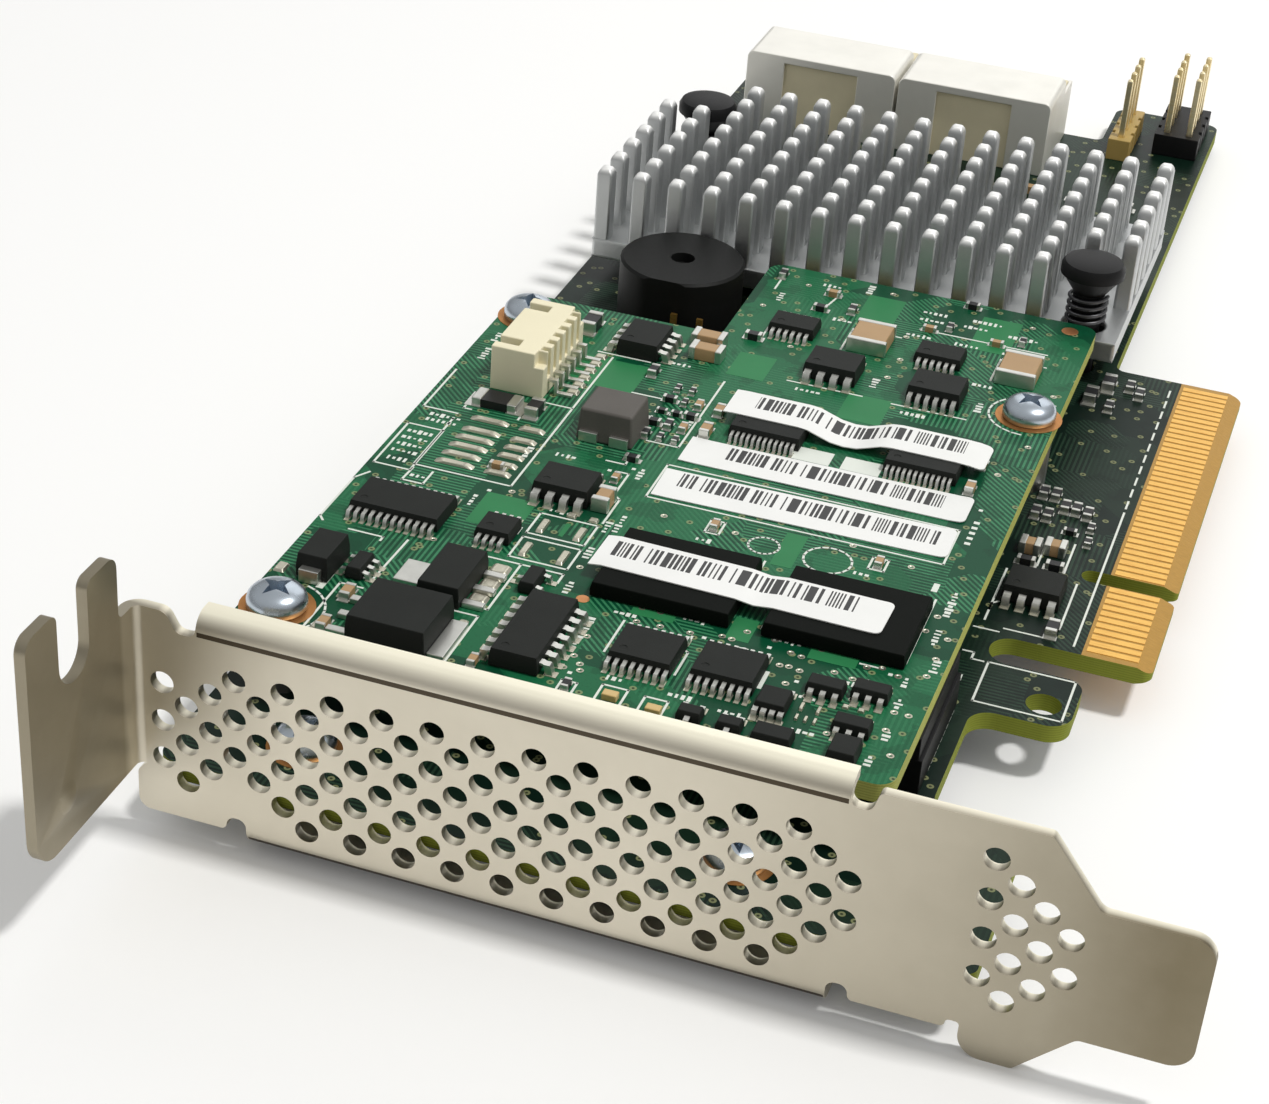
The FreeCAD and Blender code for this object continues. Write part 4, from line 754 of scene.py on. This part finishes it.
vias = pairs(
    -37.9, -33, -39.6, -41.2, -27.3, -31, -25.7, -32.2, -24.8, -32.4, -26, -34.2, -25.3, -34.1,
    -24.4, -34.3, -23.6, -30.8, -21.9, -33.4, -19.8, -31.7, -18.7, -31.3, -17.3, -31.9,
    -23, -37.4, -21.8, -37.4, -19.7, -36.4, -16.4, -36.7, -15.3, -31, -15.2, -28.4, -15, -25.3,
    -15.3, -36.7, -15.3, -42.2, -20.4, -33.7, -20.3, -41.4, -24.9, -36.4, -31.2, -32.2,
    -30.4, -32.3, -29.6, -30.8, -36.6, -31, -38.1, -31, -36, -32.9, -33.6, -32.8, -40.9, -41.3,
    -40.7, -39.5, -40.7, -36.6, -39.9, -40.4, -16.4, -39.2, -16.9, -24.8, -16.5, -22.4,
    -41, -16.9, -39, -12, -34.8, -17, -25.4, -14.8, -20.2, -16, -44.6, -27.4, -53.8, -18.6,
    -56.8, -28.4, -17, 2, -15.6, 8, -15.4, 18.4, -40, 17.4, -37, 25, -30.2, 15.4, -30, 19.4,
    -27, 28.6, -42, 30.8, -34, 32.6, -20, 31.4, -44.8, 24.6, -30.6, 24.2)
via = lathe([(0.3, -0.02), (0.3, 0.035), (0.14, 0.045), (0.13, -0.01)], sides=12)
pieces.append(copies(via, [spot(x, y, TOP) for x, y in vias]))
dress(soften(joined(pieces), 0.0, angle=45), "daughter_board_pads", "tinned_leads", solder)
dot = lathe([(0.5, 0), (0.5, 0.03), (0.46, 0.045)], sides=24)
dress(copies(dot, [spot(x, y, TOP, 0, (size, size, 1)) for x, y, size in dots]),
      "copper_targets", "gold", bright_metal("bare_copper", tone(232, 164, 112), 0.34, 0.2))


# ---- moulded packages
# Transfer-moulded black epoxy bodies on tin-plated leads. Each has a slight draft, a broken
# edge and a shallow round mark beside its first lead.

def moulding(name, colour, spread=0.5, shine=0.12):
    f = Finish(name, {"Specular IOR Level": shine})
    grit = f.noise(14.0, 3.0)
    cloud = f.noise(0.4, 3.0)
    return f.worn(f.mix(shade(colour, 1 - spread / 2), shade(colour, 1 + spread),
                        cloud * 0.5 + grit * 0.5), grit * 0.2 + 0.42, grit, 0.02, 0.5)


epoxy = moulding("black_epoxy", tone(33, 35, 33))
smooth_epoxy = moulding("smooth_epoxy", tone(13, 16, 13), 0.3, 0.05)
# Leads on each side, their pitch, and whether they leave the body along X.
LEADED = {
    "port_driver": (12, 0.65, False), "clock_buffer_left": (8, 0.65, False),
    "clock_buffer_right": (8, 0.65, False), "power_switch": (4, 1.27, False),
    "supervisor": (4, 0.65, False), "charger": (7, 1.27, True), "gauge": (4, 1.27, True),
    "bridge_left": (12, 0.5, False), "bridge_right": (12, 0.5, False),
    "latch_left": (6, 0.65, False), "latch_right": (6, 0.65, False),
    "driver_left": (4, 1.27, False), "driver_right": (6, 0.8, False),
    "boot_flash": (4, 1.27, False),
}
# Small packages: middle, half depth, direction of the first row of leads, and the count
# and pitch of that row and of the one across.
LEGGED = [
    (-18.5, -35.5, 0.8, 180, (3, 0.95), (2, 1.9)), (-18.7, -40.4, 0.8, 180, (3, 0.95), (2, 1.9)),
    (-21.8, -36.3, 0.8, 180, (3, 0.95), (2, 1.9)), (-24.9, -39.8, 1.3, 180, (4, 0.65), (4, 0.65)),
    (-27.0, -44.0, 0.65, 180, (1, 1.0), (2, 1.3)), (-30.1, -43.8, 0.65, 180, (1, 1.0), (2, 1.3)),
    (-60.2, -35.3, 0.7, -90, (3, 0.95), (2, 1.9)), (-47.1, -31.6, 0.7, -90, (2, 1.9), (1, 1.0)),
]


def gull_lead():
    """Formed lead: out of the body at mid height, down, and a flat foot; unit wide, along +Y."""
    lead = cuboid((-0.5, -0.25, 0.62), (0.5, 0.22, 0.76))
    for step, sink in ((0.12, 0.06), (0.14, 0.42), (0.12, 0.14), (0.45, 0.0)):
        edit(lead, lambda c, n: n.y > 0.5)
        pull(0, step, -sink)
        done()
    return soften(lead, 0.0, angle=40)


PAD_T = 0.07
feet, foot_pads = [], []


def lead_row(axis, half, count, pitch, foot, reach, pad):
    """Adds one row of leads, each with its pad a little further out."""
    for n in range(count):
        offset = pitch * (n - (count - 1) / 2)
        feet.append(axis @ spot(offset, half, 0, size=foot))
        foot_pads.append(axis @ spot(offset, half + reach, 0, size=(*pad, PAD_T)))


for node, (count, pitch, sideways) in LEADED.items():
    low, high = corners(node)
    dimple = lathe([(0.32, high.z - 0.05), (0.36, high.z + 0.2)], low.x + 0.95, low.y + 0.95, 16)
    reworked(node, node + "_body", "chip_black", epoxy, 0.06, 2, cutter=dimple)
    middle, base = (low + high) / 2, low.z - 0.1
    half = (high.x - low.x if sideways else high.y - low.y) / 2
    tall = (high.z - base) / 1.2
    for side in (0, 180):
        axis = spot(middle.x, middle.y, base, side + (90 if sideways else 0))
        lead_row(axis, half, count, pitch, (pitch * 0.5, 1.0, tall), 0.85, (pitch * 0.62, 1.0))
for x, y, half, turn, *rows in LEGGED:
    for side, (count, pitch) in enumerate(rows):
        axis = spot(x, y, TOP, turn - 180 * side)
        lead_row(axis, half, count, pitch, (0.42, 0.62, 0.9), 0.65, (0.6, 0.8))
leads = copies(gull_lead(), feet)
dress(leads, "gull_wing_leads", "tinned_leads", tin)
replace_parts(leads, "package_leads")
dress(copies(tile(), foot_pads), "lead_pads", "tinned_leads", solder)

for node, finish in (("small_packages", epoxy), ("flash_chips", smooth_epoxy),
                     ("memory_chips", smooth_epoxy), ("regulators", epoxy)):
    reworked(node, node + "_bodies", "chip_black", finish, 0.07, 2)
balls = lathe([(0.2, 0), (0.26, 0.06), (0.2, 0.12)], sides=8)
BALL_PITCH = 0.78
places = [spot(low.x + 1.0 + BALL_PITCH * i, low.y + 1.0 + BALL_PITCH * j, 0)
          for low, high in solids("memory_chips") for i in (0, 1, 2, 7, 8, 9)
          for j in range(int((high.y - low.y - 1.2) / BALL_PITCH))]
dress(copies(balls, places), "solder_balls", "tinned_leads", solder)


# ---- power parts
# A shielded inductor in grey ferrite on tinned terminals, and power packages whose
# tabs and legs are soldered down.

ferrite = plastic("grey_ferrite", tone(98, 94, 89), 0.55, 0.35, 0.6)
reworked("power_inductor", "power_inductor_body", "ferrite", ferrite, 0.25, 3)
reworked("regulator_tabs", "regulator_tab_plates", "tinned_leads", tin, 0.08)
reworked("capacitors", "ceramic_capacitors", "ceramic_tan", tan_ceramic, 0.1)
low, high = corners("power_inductor")
pieces = [cuboid((x - 0.85, y0, low.z), (x + 0.85, y1, low.z + 1.0), 0.06)
          for y0, y1 in ((low.y - 0.25, low.y + 0.3), (high.y - 0.3, high.y + 0.25))
          for x in (low.x + 1.2, high.x - 1.2)]
pieces += [cuboid((-63.95, y - 0.45, TOP), (-62.25, y + 0.45, TOP + 1.2), 0.08)
           for y in (-38.3, -33.5)]
dress(joined(pieces), "soldered_terminals", "tinned_leads", tin)
END_L, END_T = 0.5, 0.06
ends = []
for low, high in solids("capacitors"):
    axis = 0 if high.x - low.x > high.y - low.y else 1
    near, far = high.copy(), low.copy()
    near[axis], far[axis] = low[axis] + END_L, high[axis] - END_L
    ends += [cuboid(a - Vector((END_T, END_T, 0)), b + Vector((END_T, END_T, 0.05)), 0.1, 2)
             for a, b in ((low, near), (far, high))]
dress(joined(ends), "capacitor_ends", "tinned_leads", tin)


# ---- daughter board small parts
# Chip resistors and ceramic capacitors between the packages, the larger ones on the
# battery side. Two lamps in clear housings stand at the front edge.

rng = random.Random(17)
brown = chip_rows(TOP, (
    (-59.6, -39, 90, 1.7), (-59.5, -43.7, 90, 1.6), (-47.3, -43.6, 90, 1.3),
    (-36.6, -16.9, 90, 1.3), (-22.7, -16.8, 90, 1.3), (-42.1, -2, 90, 1.8), (-42.1, 2, 90, 1.6),
    (-18.6, -1.8, 90, 1.6), (-18.6, 3, 90, 1.6), (-56.4, -15.4, 0, 1.3), (-45.6, 12.8, 90, 1.6),
    (-39.2, 29.6, 0, 1.4), (-46.6, -13, 90, 1.2), (-28.9, 26.4, 0, 1.3), (-22.4, 26.2, 0, 1.3)))
dark = chip_rows(TOP, (
    (-57.9, 12.6, 90, 2.8), (-39.8, -43.7, 90, 1.2), (-46.4, -9.3, 0, 1.3),
    (-49.8, 6.6, 90, 1.6), (-43.6, 17.4, 0, 1.6), (-39.5, 26, 0, 1.4), (-26.2, 33, 0, 1.4),
    (-44.8, 31.6, 90, 1.4), (-36.6, 27, 90, 1.4), (-27.2, 27.6, 90, 1.2),
    (-20.2, 27.6, 90, 1.2), (-56.9, -5.1, 90, 2.4)))
dark.append(spot(-60.4, -5.0, TOP, 0, (4.2, 4.4, 1.9)))
for n in range(14):
    place = spot(-46.8 + 1.35 * (n % 3), -4.6 + 2.3 * (n // 3), TOP, rng.choice((0, 90)),
                 (rng.choice((1.0, 1.3)),) * 3)
    (brown if rng.random() < 0.4 else dark).append(place)
for n in range(10):
    place = spot(-65.2 + 1.6 * (n % 5), 20.4 + 2.6 * (n // 5), 0, rng.choice((0, 90)),
                 (1.3,) * 3)
    (brown if rng.random() < 0.4 else dark).append(place)
dress(copies(chip_part(tan_ceramic), brown), "daughter_board_ceramics", "ceramic_tan")
dress(copies(chip_part(black_ceramic), dark), "daughter_board_resistors", "chip_black")

reworked("lights", "lamp_housings", "lamp_clear",
         plastic("clear_amber", tone(222, 190, 124), 0.3, 0.3, 0.2, 0.5), 0.1, 2)


# ---- wire socket
# Natural nylon side-entry socket with six tinned terminals along its back.
# It is soldered flat to the daughter board and takes the lead of a backup module.

nylon = plastic("natural_nylon", tone(244, 236, 204), 0.48, 0.1)
reworked("cable_socket", "wire_socket_body", "cream_plastic", nylon, 0.12)
reworked("cable_socket_pins", "wire_socket_terminals", "tinned_leads", tin, 0.05)


# ---- paper labels
# Coated white paper with rounded corners. Two lie flat, two bridge pairs of packages and
# dip between them. Each carries one row of plain printed bars along its rear half.

def label_paper(name, x0, x1, y0, y1):
    """White paper printed with bars between x0 and x1, y0 and y1."""
    f = Finish(name, {"Specular IOR Level": 0.35})
    x, y, _ = f.parts(f.place)
    strip = (x * 7.5).math("FLOOR")
    value = f.node("ShaderNodeTexWhiteNoise", {"noise_dimensions": "1D"}, {"W": strip})
    bars = (value > 0.5) * (x > x0) * (x < x1) * (y > y0) * (y < y1)
    cloud = f.noise(0.2, 3.0)
    sheet = f.mix(tone(232, 233, 230), tone(246, 246, 244), cloud)
    return f.worn(f.mix(sheet, tone(34, 34, 36), bars * 0.95),
                  bars * 0.1 + cloud * 0.1 + 0.45, f.noise(4.0, 3.0), 0.02, 0.2)


def label(name, y0, y1, top, stations, bars, turn=0.0):
    """Paper sheet from y0 to y1 laid through (x, height over top) stations, corners rounded."""
    x0, z0 = stations[0][0], top + stations[0][1]
    sheet = cuboid((x0, y0, z0), (x0 + 0.01, y1, z0 + 0.09))
    x, z = x0 + 0.01, z0
    for far, rise in stations[1:]:
        height = top + rise
        edit(sheet, lambda c, n: n.x > 0.9 and abs(c.x - x) < 0.004)
        pull(far - x, 0, height - z)
        done()
        x, z = far, height
    corner_x = (x0, x)
    alone(sheet)
    mesh = sheet.data
    for item in (*mesh.vertices, *mesh.polygons):
        item.select = False
    for edge in mesh.edges:
        a, b = (mesh.vertices[v].co * 1000 for v in edge.vertices)
        edge.select = (abs(a.z - b.z) > 0.05 and abs(a.x - b.x) < 0.001
                       and abs(a.y - b.y) < 0.001 and min(abs(a.x - c) for c in corner_x) < 0.005)
    bpy.ops.object.mode_set(mode="EDIT")
    bpy.ops.mesh.select_mode(type="EDGE")
    bpy.ops.mesh.bevel(offset=0.0006, segments=4, affect="EDGES", clamp_overlap=False)
    done()
    centre = Vector(((x0 + x) / 2, (y0 + y1) / 2, 0)) / 1000
    sheet.data.transform(Matrix.Translation(centre) @ Matrix.Rotation(math.radians(turn), 4, "Z")
                         @ Matrix.Translation(-centre))
    soften(sheet, 0.0, angle=40)
    return dress(sheet, name, "white_paper", label_paper(name + "_paper", *bars))


PART_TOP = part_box("bridge_left")[1].z * 1000 + 0.01
FLASH_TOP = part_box("flash_chips")[1].z * 1000 + 0.01
flat_low, flat_high = corners("flat_labels")
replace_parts(label("bridging_label", 0.4, 4.8, PART_TOP, [
    (-41.4, -0.05), (-40.4, 0), (-34.6, 0), (-33.7, -0.08), (-32.7, -0.42), (-31.6, -0.78),
    (-30.4, -0.92), (-29.2, -0.82), (-28.1, -0.45), (-27.1, -0.1), (-26.2, 0), (-20.4, 0),
    (-19.2, -0.06), (-18.0, -0.24)], (-39.0, -20.2, 2.1, 4.3), -0.4), "bridge_label")
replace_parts(label("flat_label_rear", -7.5, -3.1, TOP, [
    (flat_low.x + 0.5, 0.06), (-41.2, 0.02), (-30.0, 0.02), (-19.2, 0.02),
    (flat_high.x - 0.2, 0.1)], (-39.4, -20.2, -5.8, -3.6), 0.2), "flat_labels")
label("flat_label_front", -13.8, -9.1, TOP, [
    (flat_low.x + 0.2, 0.04), (-41.8, 0.02), (-30.0, 0.02), (-19.0, 0.02),
    (flat_high.x - 0.3, 0.08)], (-41.6, -19.2, -11.9, -9.6), 1.2)
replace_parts(label("flash_chip_label", -28.7, -23.9, FLASH_TOP, [
    (-43.6, -0.16), (-42.5, 0), (-31.4, 0), (-30.6, -0.1), (-29.8, -0.2), (-29.0, -0.1),
    (-28.3, 0), (-20.8, 0), (-19.6, 0.04)], (-42.4, -22.4, -26.7, -24.4), -1.2), "flash_label")


# ---- processor and heat sink
# Forged aluminium pin-fin heat sink over the processor, with a clear satin finish and a painted
# highlight on each pin tip.
# Black nylon push pins with wire springs hold it at two corners.

def forging(name, colour, rough):
    f = Finish(name, {"Metallic": 1.0})
    cloud = f.noise(0.4, 3.0)
    grit = f.noise(7.0, 3.0)
    height = f.parts(f.place)[2]
    # Painted highlight: the pin tips above 11.65 mm turn near white and less metallic.
    tip_highlight = ((height - 11.65) * 2.4).limited()
    body = f.mix(shade(colour, 0.8), colour, cloud * 0.5 + grit * 0.5)
    f.feed("Metallic", 1.0 - tip_highlight * 0.4)
    return f.worn(f.mix(body, tone(252, 252, 250), tip_highlight), grit * 0.16 + rough, grit, 0.03, 0.45)


skin("raid_processor", plastic("chip_substrate", tone(40, 60, 44), 0.5))
skin("thermal_pad", plastic("thermal_pad", tone(140, 140, 146), 0.8))
sink_low, sink_high = corners("heat_sink")
push_places = [centre_of(low, high) for low, high in solids("push_pins")]
BASE_TOP = sink_low.z + 2.0
FIN_HALF, PIN_HOLE_R, PIN_CLEARANCE = 0.82, 2.0, 4.2
plate = cuboid(sink_low, (sink_high.x, sink_high.y, BASE_TOP))
for x, y in push_places:
    carve(plate, lathe([(PIN_HOLE_R, sink_low.z - 1), (PIN_HOLE_R, BASE_TOP + 1)], x, y, 24))
soften(plate, 0.35, 3)
fin = cuboid((-FIN_HALF, -FIN_HALF, BASE_TOP - 0.3), (FIN_HALF, FIN_HALF, sink_high.z - 0.75))
for rise, share in ((0.32, 0.88), (0.28, 0.76), (0.15, 0.5)):
    edit(fin, lambda c, n: n.z > 0.9)
    pull(0, 0, rise)
    bpy.ops.transform.resize(value=(share, share, 1))
    done()
soften(fin, 0.26, 3, 50)
COLUMNS, ROWS, EDGE = 15, 8, 0.9
fins = []
for i in range(COLUMNS):
    for j in range(ROWS):
        x = sink_low.x + EDGE + (sink_high.x - sink_low.x - 2 * EDGE) * i / (COLUMNS - 1)
        y = sink_low.y + EDGE + (sink_high.y - sink_low.y - 2 * EDGE) * j / (ROWS - 1)
        if all(max(abs(x - px), abs(y - py)) > PIN_CLEARANCE for px, py in push_places):
            fins.append(spot(x, y, 0))
sink = dress(joined([plate, copies(fin, fins)]), "pin_fin_heat_sink", "sink_aluminium",
             forging("forged_aluminium", tone(206, 208, 208), 0.36))
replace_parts(sink, "heat_sink")

black_nylon = plastic("black_nylon", tone(24, 24, 25), 0.45, 0.3, 0.3, 0.18)
pins, coils = [], []
for low, high in solids("push_pins"):
    x, y = centre_of(low, high)
    pin = lathe([(0.93, low.z), (2.1, LOWER_FACE - 0.1), (1.55, LOWER_FACE - 0.1), (1.55, 8.0),
                 (2.88, 9.9), (3.09, 9.95), (3.09, 10.7), (2.8, 11.2), (2.0, high.z)],
                x, y, 32)
    slot_cut = cuboid((x - 2.6, y - 0.35, low.z - 0.5), (x + 2.6, y + 0.35, 1.6))
    pins.append(soften(carve(pin, slot_cut), 0.0, angle=30))
    bpy.ops.mesh.primitive_circle_add(vertices=8, radius=0.0002, fill_type="NOTHING",
                                      location=(0.00183, 0, 0), rotation=(math.pi / 2, 0, 0))
    coil = bpy.context.object
    bpy.ops.object.transform_apply(location=True, rotation=True)
    wind = coil.modifiers.new("wind", "SCREW")
    wind.axis, wind.steps, wind.render_steps = "Z", 20, 20
    wind.iterations, wind.screw_offset = 4, 0.00075
    bpy.ops.object.modifier_apply(modifier="wind")
    edit(coil)
    bpy.ops.mesh.fill_holes(sides=0)
    face_outward()
    coil.data.transform(Matrix.Translation(Vector((x, y, 4.82)) / 1000))
    coils.append(soften(coil, 0.0, angle=60))
push = dress(joined(pins), "push_pin_bodies", "black_plastic", black_nylon)
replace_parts(push, "push_pins")
wire = dress(joined(coils), "push_pin_coils", "spring_steel",
             bright_metal("spring_wire", tone(96, 96, 98), 0.35))
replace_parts(wire, "push_pin_springs")


# ---- buzzer
# Moulded black sounder with a round port in its top and two contacts on its foot.
# It is soldered to the main board between the daughter board and the heat sink.

buzzer_black = plastic("buzzer_black", tone(24, 25, 24), 0.5, 0.25, 0.5, 0.15)
reworked("buzzer", "buzzer_body", "black_plastic", buzzer_black, 0.35, 3)
skin("buzzer_pins", gold)


# ---- cable sockets
# Folded shells of bright tinned steel over beige housings, side by side at the rear edge.
# Each is fixed to the main board, and its mouth faces the rear.

def dull_tin(name, colour, rough):
    f = Finish(name, {"Metallic": 0.5, "Specular IOR Level": 0.4})
    cloud = f.noise(0.3, 3.0)
    return f.worn(f.mix(colour, shade(colour, 0.8), cloud * 0.6), cloud * 0.2 + rough,
                  f.noise(5.0, 3.0), 0.012, 0.35)


tinned_steel = dull_tin("tinned_shell", tone(246, 244, 236), 0.3)
beige = plastic("beige_housing", tone(240, 230, 196), 0.5)
for side in ("1", "2"):
    reworked("socket_cage_" + side, "socket_shell_" + side, "cage_steel", tinned_steel, 0.12)
    reworked("socket_housing_" + side, "socket_insert_" + side, "beige_plastic", beige, 0.1)
skin("socket_contacts", gold)


# ---- pin headers
# Square gold-plated posts in moulded strips at the rear corner, and the mezzanine
# connector between the two boards.

reworked("jumper_header", "jumper_strip", "black_plastic", black_nylon, 0.1)
reworked("light_header", "light_strip", "amber_plastic",
         plastic("amber_strip", tone(186, 158, 92), 0.45), 0.1)
reworked("header_pins", "header_posts", "gold", gold_plate(
    "post_gold", tone(252, 238, 200), tone(244, 224, 170), 0.3), 0.08)
for node, name in (("stack_socket", "stack_socket_body"), ("stack_plug", "stack_plug_body")):
    reworked(node, name, "black_plastic", black_nylon, 0.1)
tails = lathe([(0.16, 0.0), (0.55, 0.08), (0.5, 0.3), (0.3, 0.62)], sides=12)
dress(soften(copies(tails, [spot(*centre_of(low, high), LOWER_FACE, flip=True)
                            for low, high in solids("header_pins")]), 0.0, angle=60),
      "solder_fillets", "tinned_leads", solder)


# ---- studio
# Pale seamless floor, tilted under the card as the card rests on it, one small high lamp
# to the right of the front and a broad soft one behind.

low, high = corners("bracket")
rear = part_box("header_pins")[0].z * 1000
front_rest = Vector((0, low.y + 15.0, low.z))
tilt = math.atan2(rear - low.z, 105 - front_rest.y)
bpy.ops.mesh.primitive_plane_add(size=6.0, location=front_rest / 1000, rotation=(tilt, 0, 0))
floor = bpy.context.object
floor.name = "studio_floor"
f = Finish("studio_floor", {"Roughness": 0.9, "Specular IOR Level": 0.1})
f.shader.inputs["Base Color"].default_value = (0.93, 0.93, 0.925, 1)
f.shader.inputs["Emission Strength"].default_value = 0.045
path = [f.node("ShaderNodeLightPath", out=out) for out in ("Is Camera Ray", "Is Glossy Ray")]
f.feed("Emission Color", f.mix((0, 0, 0, 1), (1, 1, 1, 1), path[0] + path[1]))
floor.data.materials.append(f.material)

world = bpy.data.worlds.new("studio")
bpy.context.scene.world = world
world.use_nodes = True
nodes, links = world.node_tree.nodes, world.node_tree.links
back = nodes["Background"]
where = nodes.new("ShaderNodeTexCoord")
split = nodes.new("ShaderNodeSeparateXYZ")
ramp = nodes.new("ShaderNodeValToRGB")
links.new(where.outputs["Generated"], split.inputs[0])
links.new(split.outputs["Z"], ramp.inputs[0])
links.new(ramp.outputs["Color"], back.inputs["Color"])
steps = ramp.color_ramp.elements
steps[0].position, steps[1].position = 0.0, 1.0
steps.new(0.25)
steps.new(0.5)
for stop, (position, level) in zip(steps, ((0.0, 0.24), (0.25, 0.34), (0.5, 0.48), (1.0, 0.56))):
    stop.position, stop.color = position, (level, level, level * 0.99, 1)

LAMPS = {
    "key": ((0.33, 0.01, 0.79), 0.09, 4.3, (1.0, 0.99, 0.97)),
    "rear_box": ((-0.05, 0.72, 0.38), 0.60, 0.95, (1.0, 1.0, 1.0)),
}
aim = Vector((-0.03, 0.01, 0))
for name, (place, size, power, colour) in LAMPS.items():
    lamp = bpy.data.lights.new(name, "AREA")
    lamp.size, lamp.energy, lamp.color = size, power, colour
    holder = stand(bpy.data.objects.new(name, lamp))
    holder.location = place
    holder.rotation_euler = (aim - Vector(place)).to_track_quat("-Z", "Y").to_euler()

camera = stand(bpy.data.objects.new("camera", bpy.data.cameras.new("camera")))
camera.location = (0.010987, -0.199406, 0.118569)
camera.rotation_euler = tuple(math.radians(a) for a in (57.601, -3.356, 19.645))
camera.data.sensor_width, camera.data.lens = 36.0, 75.70
camera.data.shift_x, camera.data.shift_y = 0.0323, 0.0333
camera.data.clip_start = 0.01
bpy.context.scene.camera = camera
bpy.context.scene.view_settings.view_transform = "Standard"
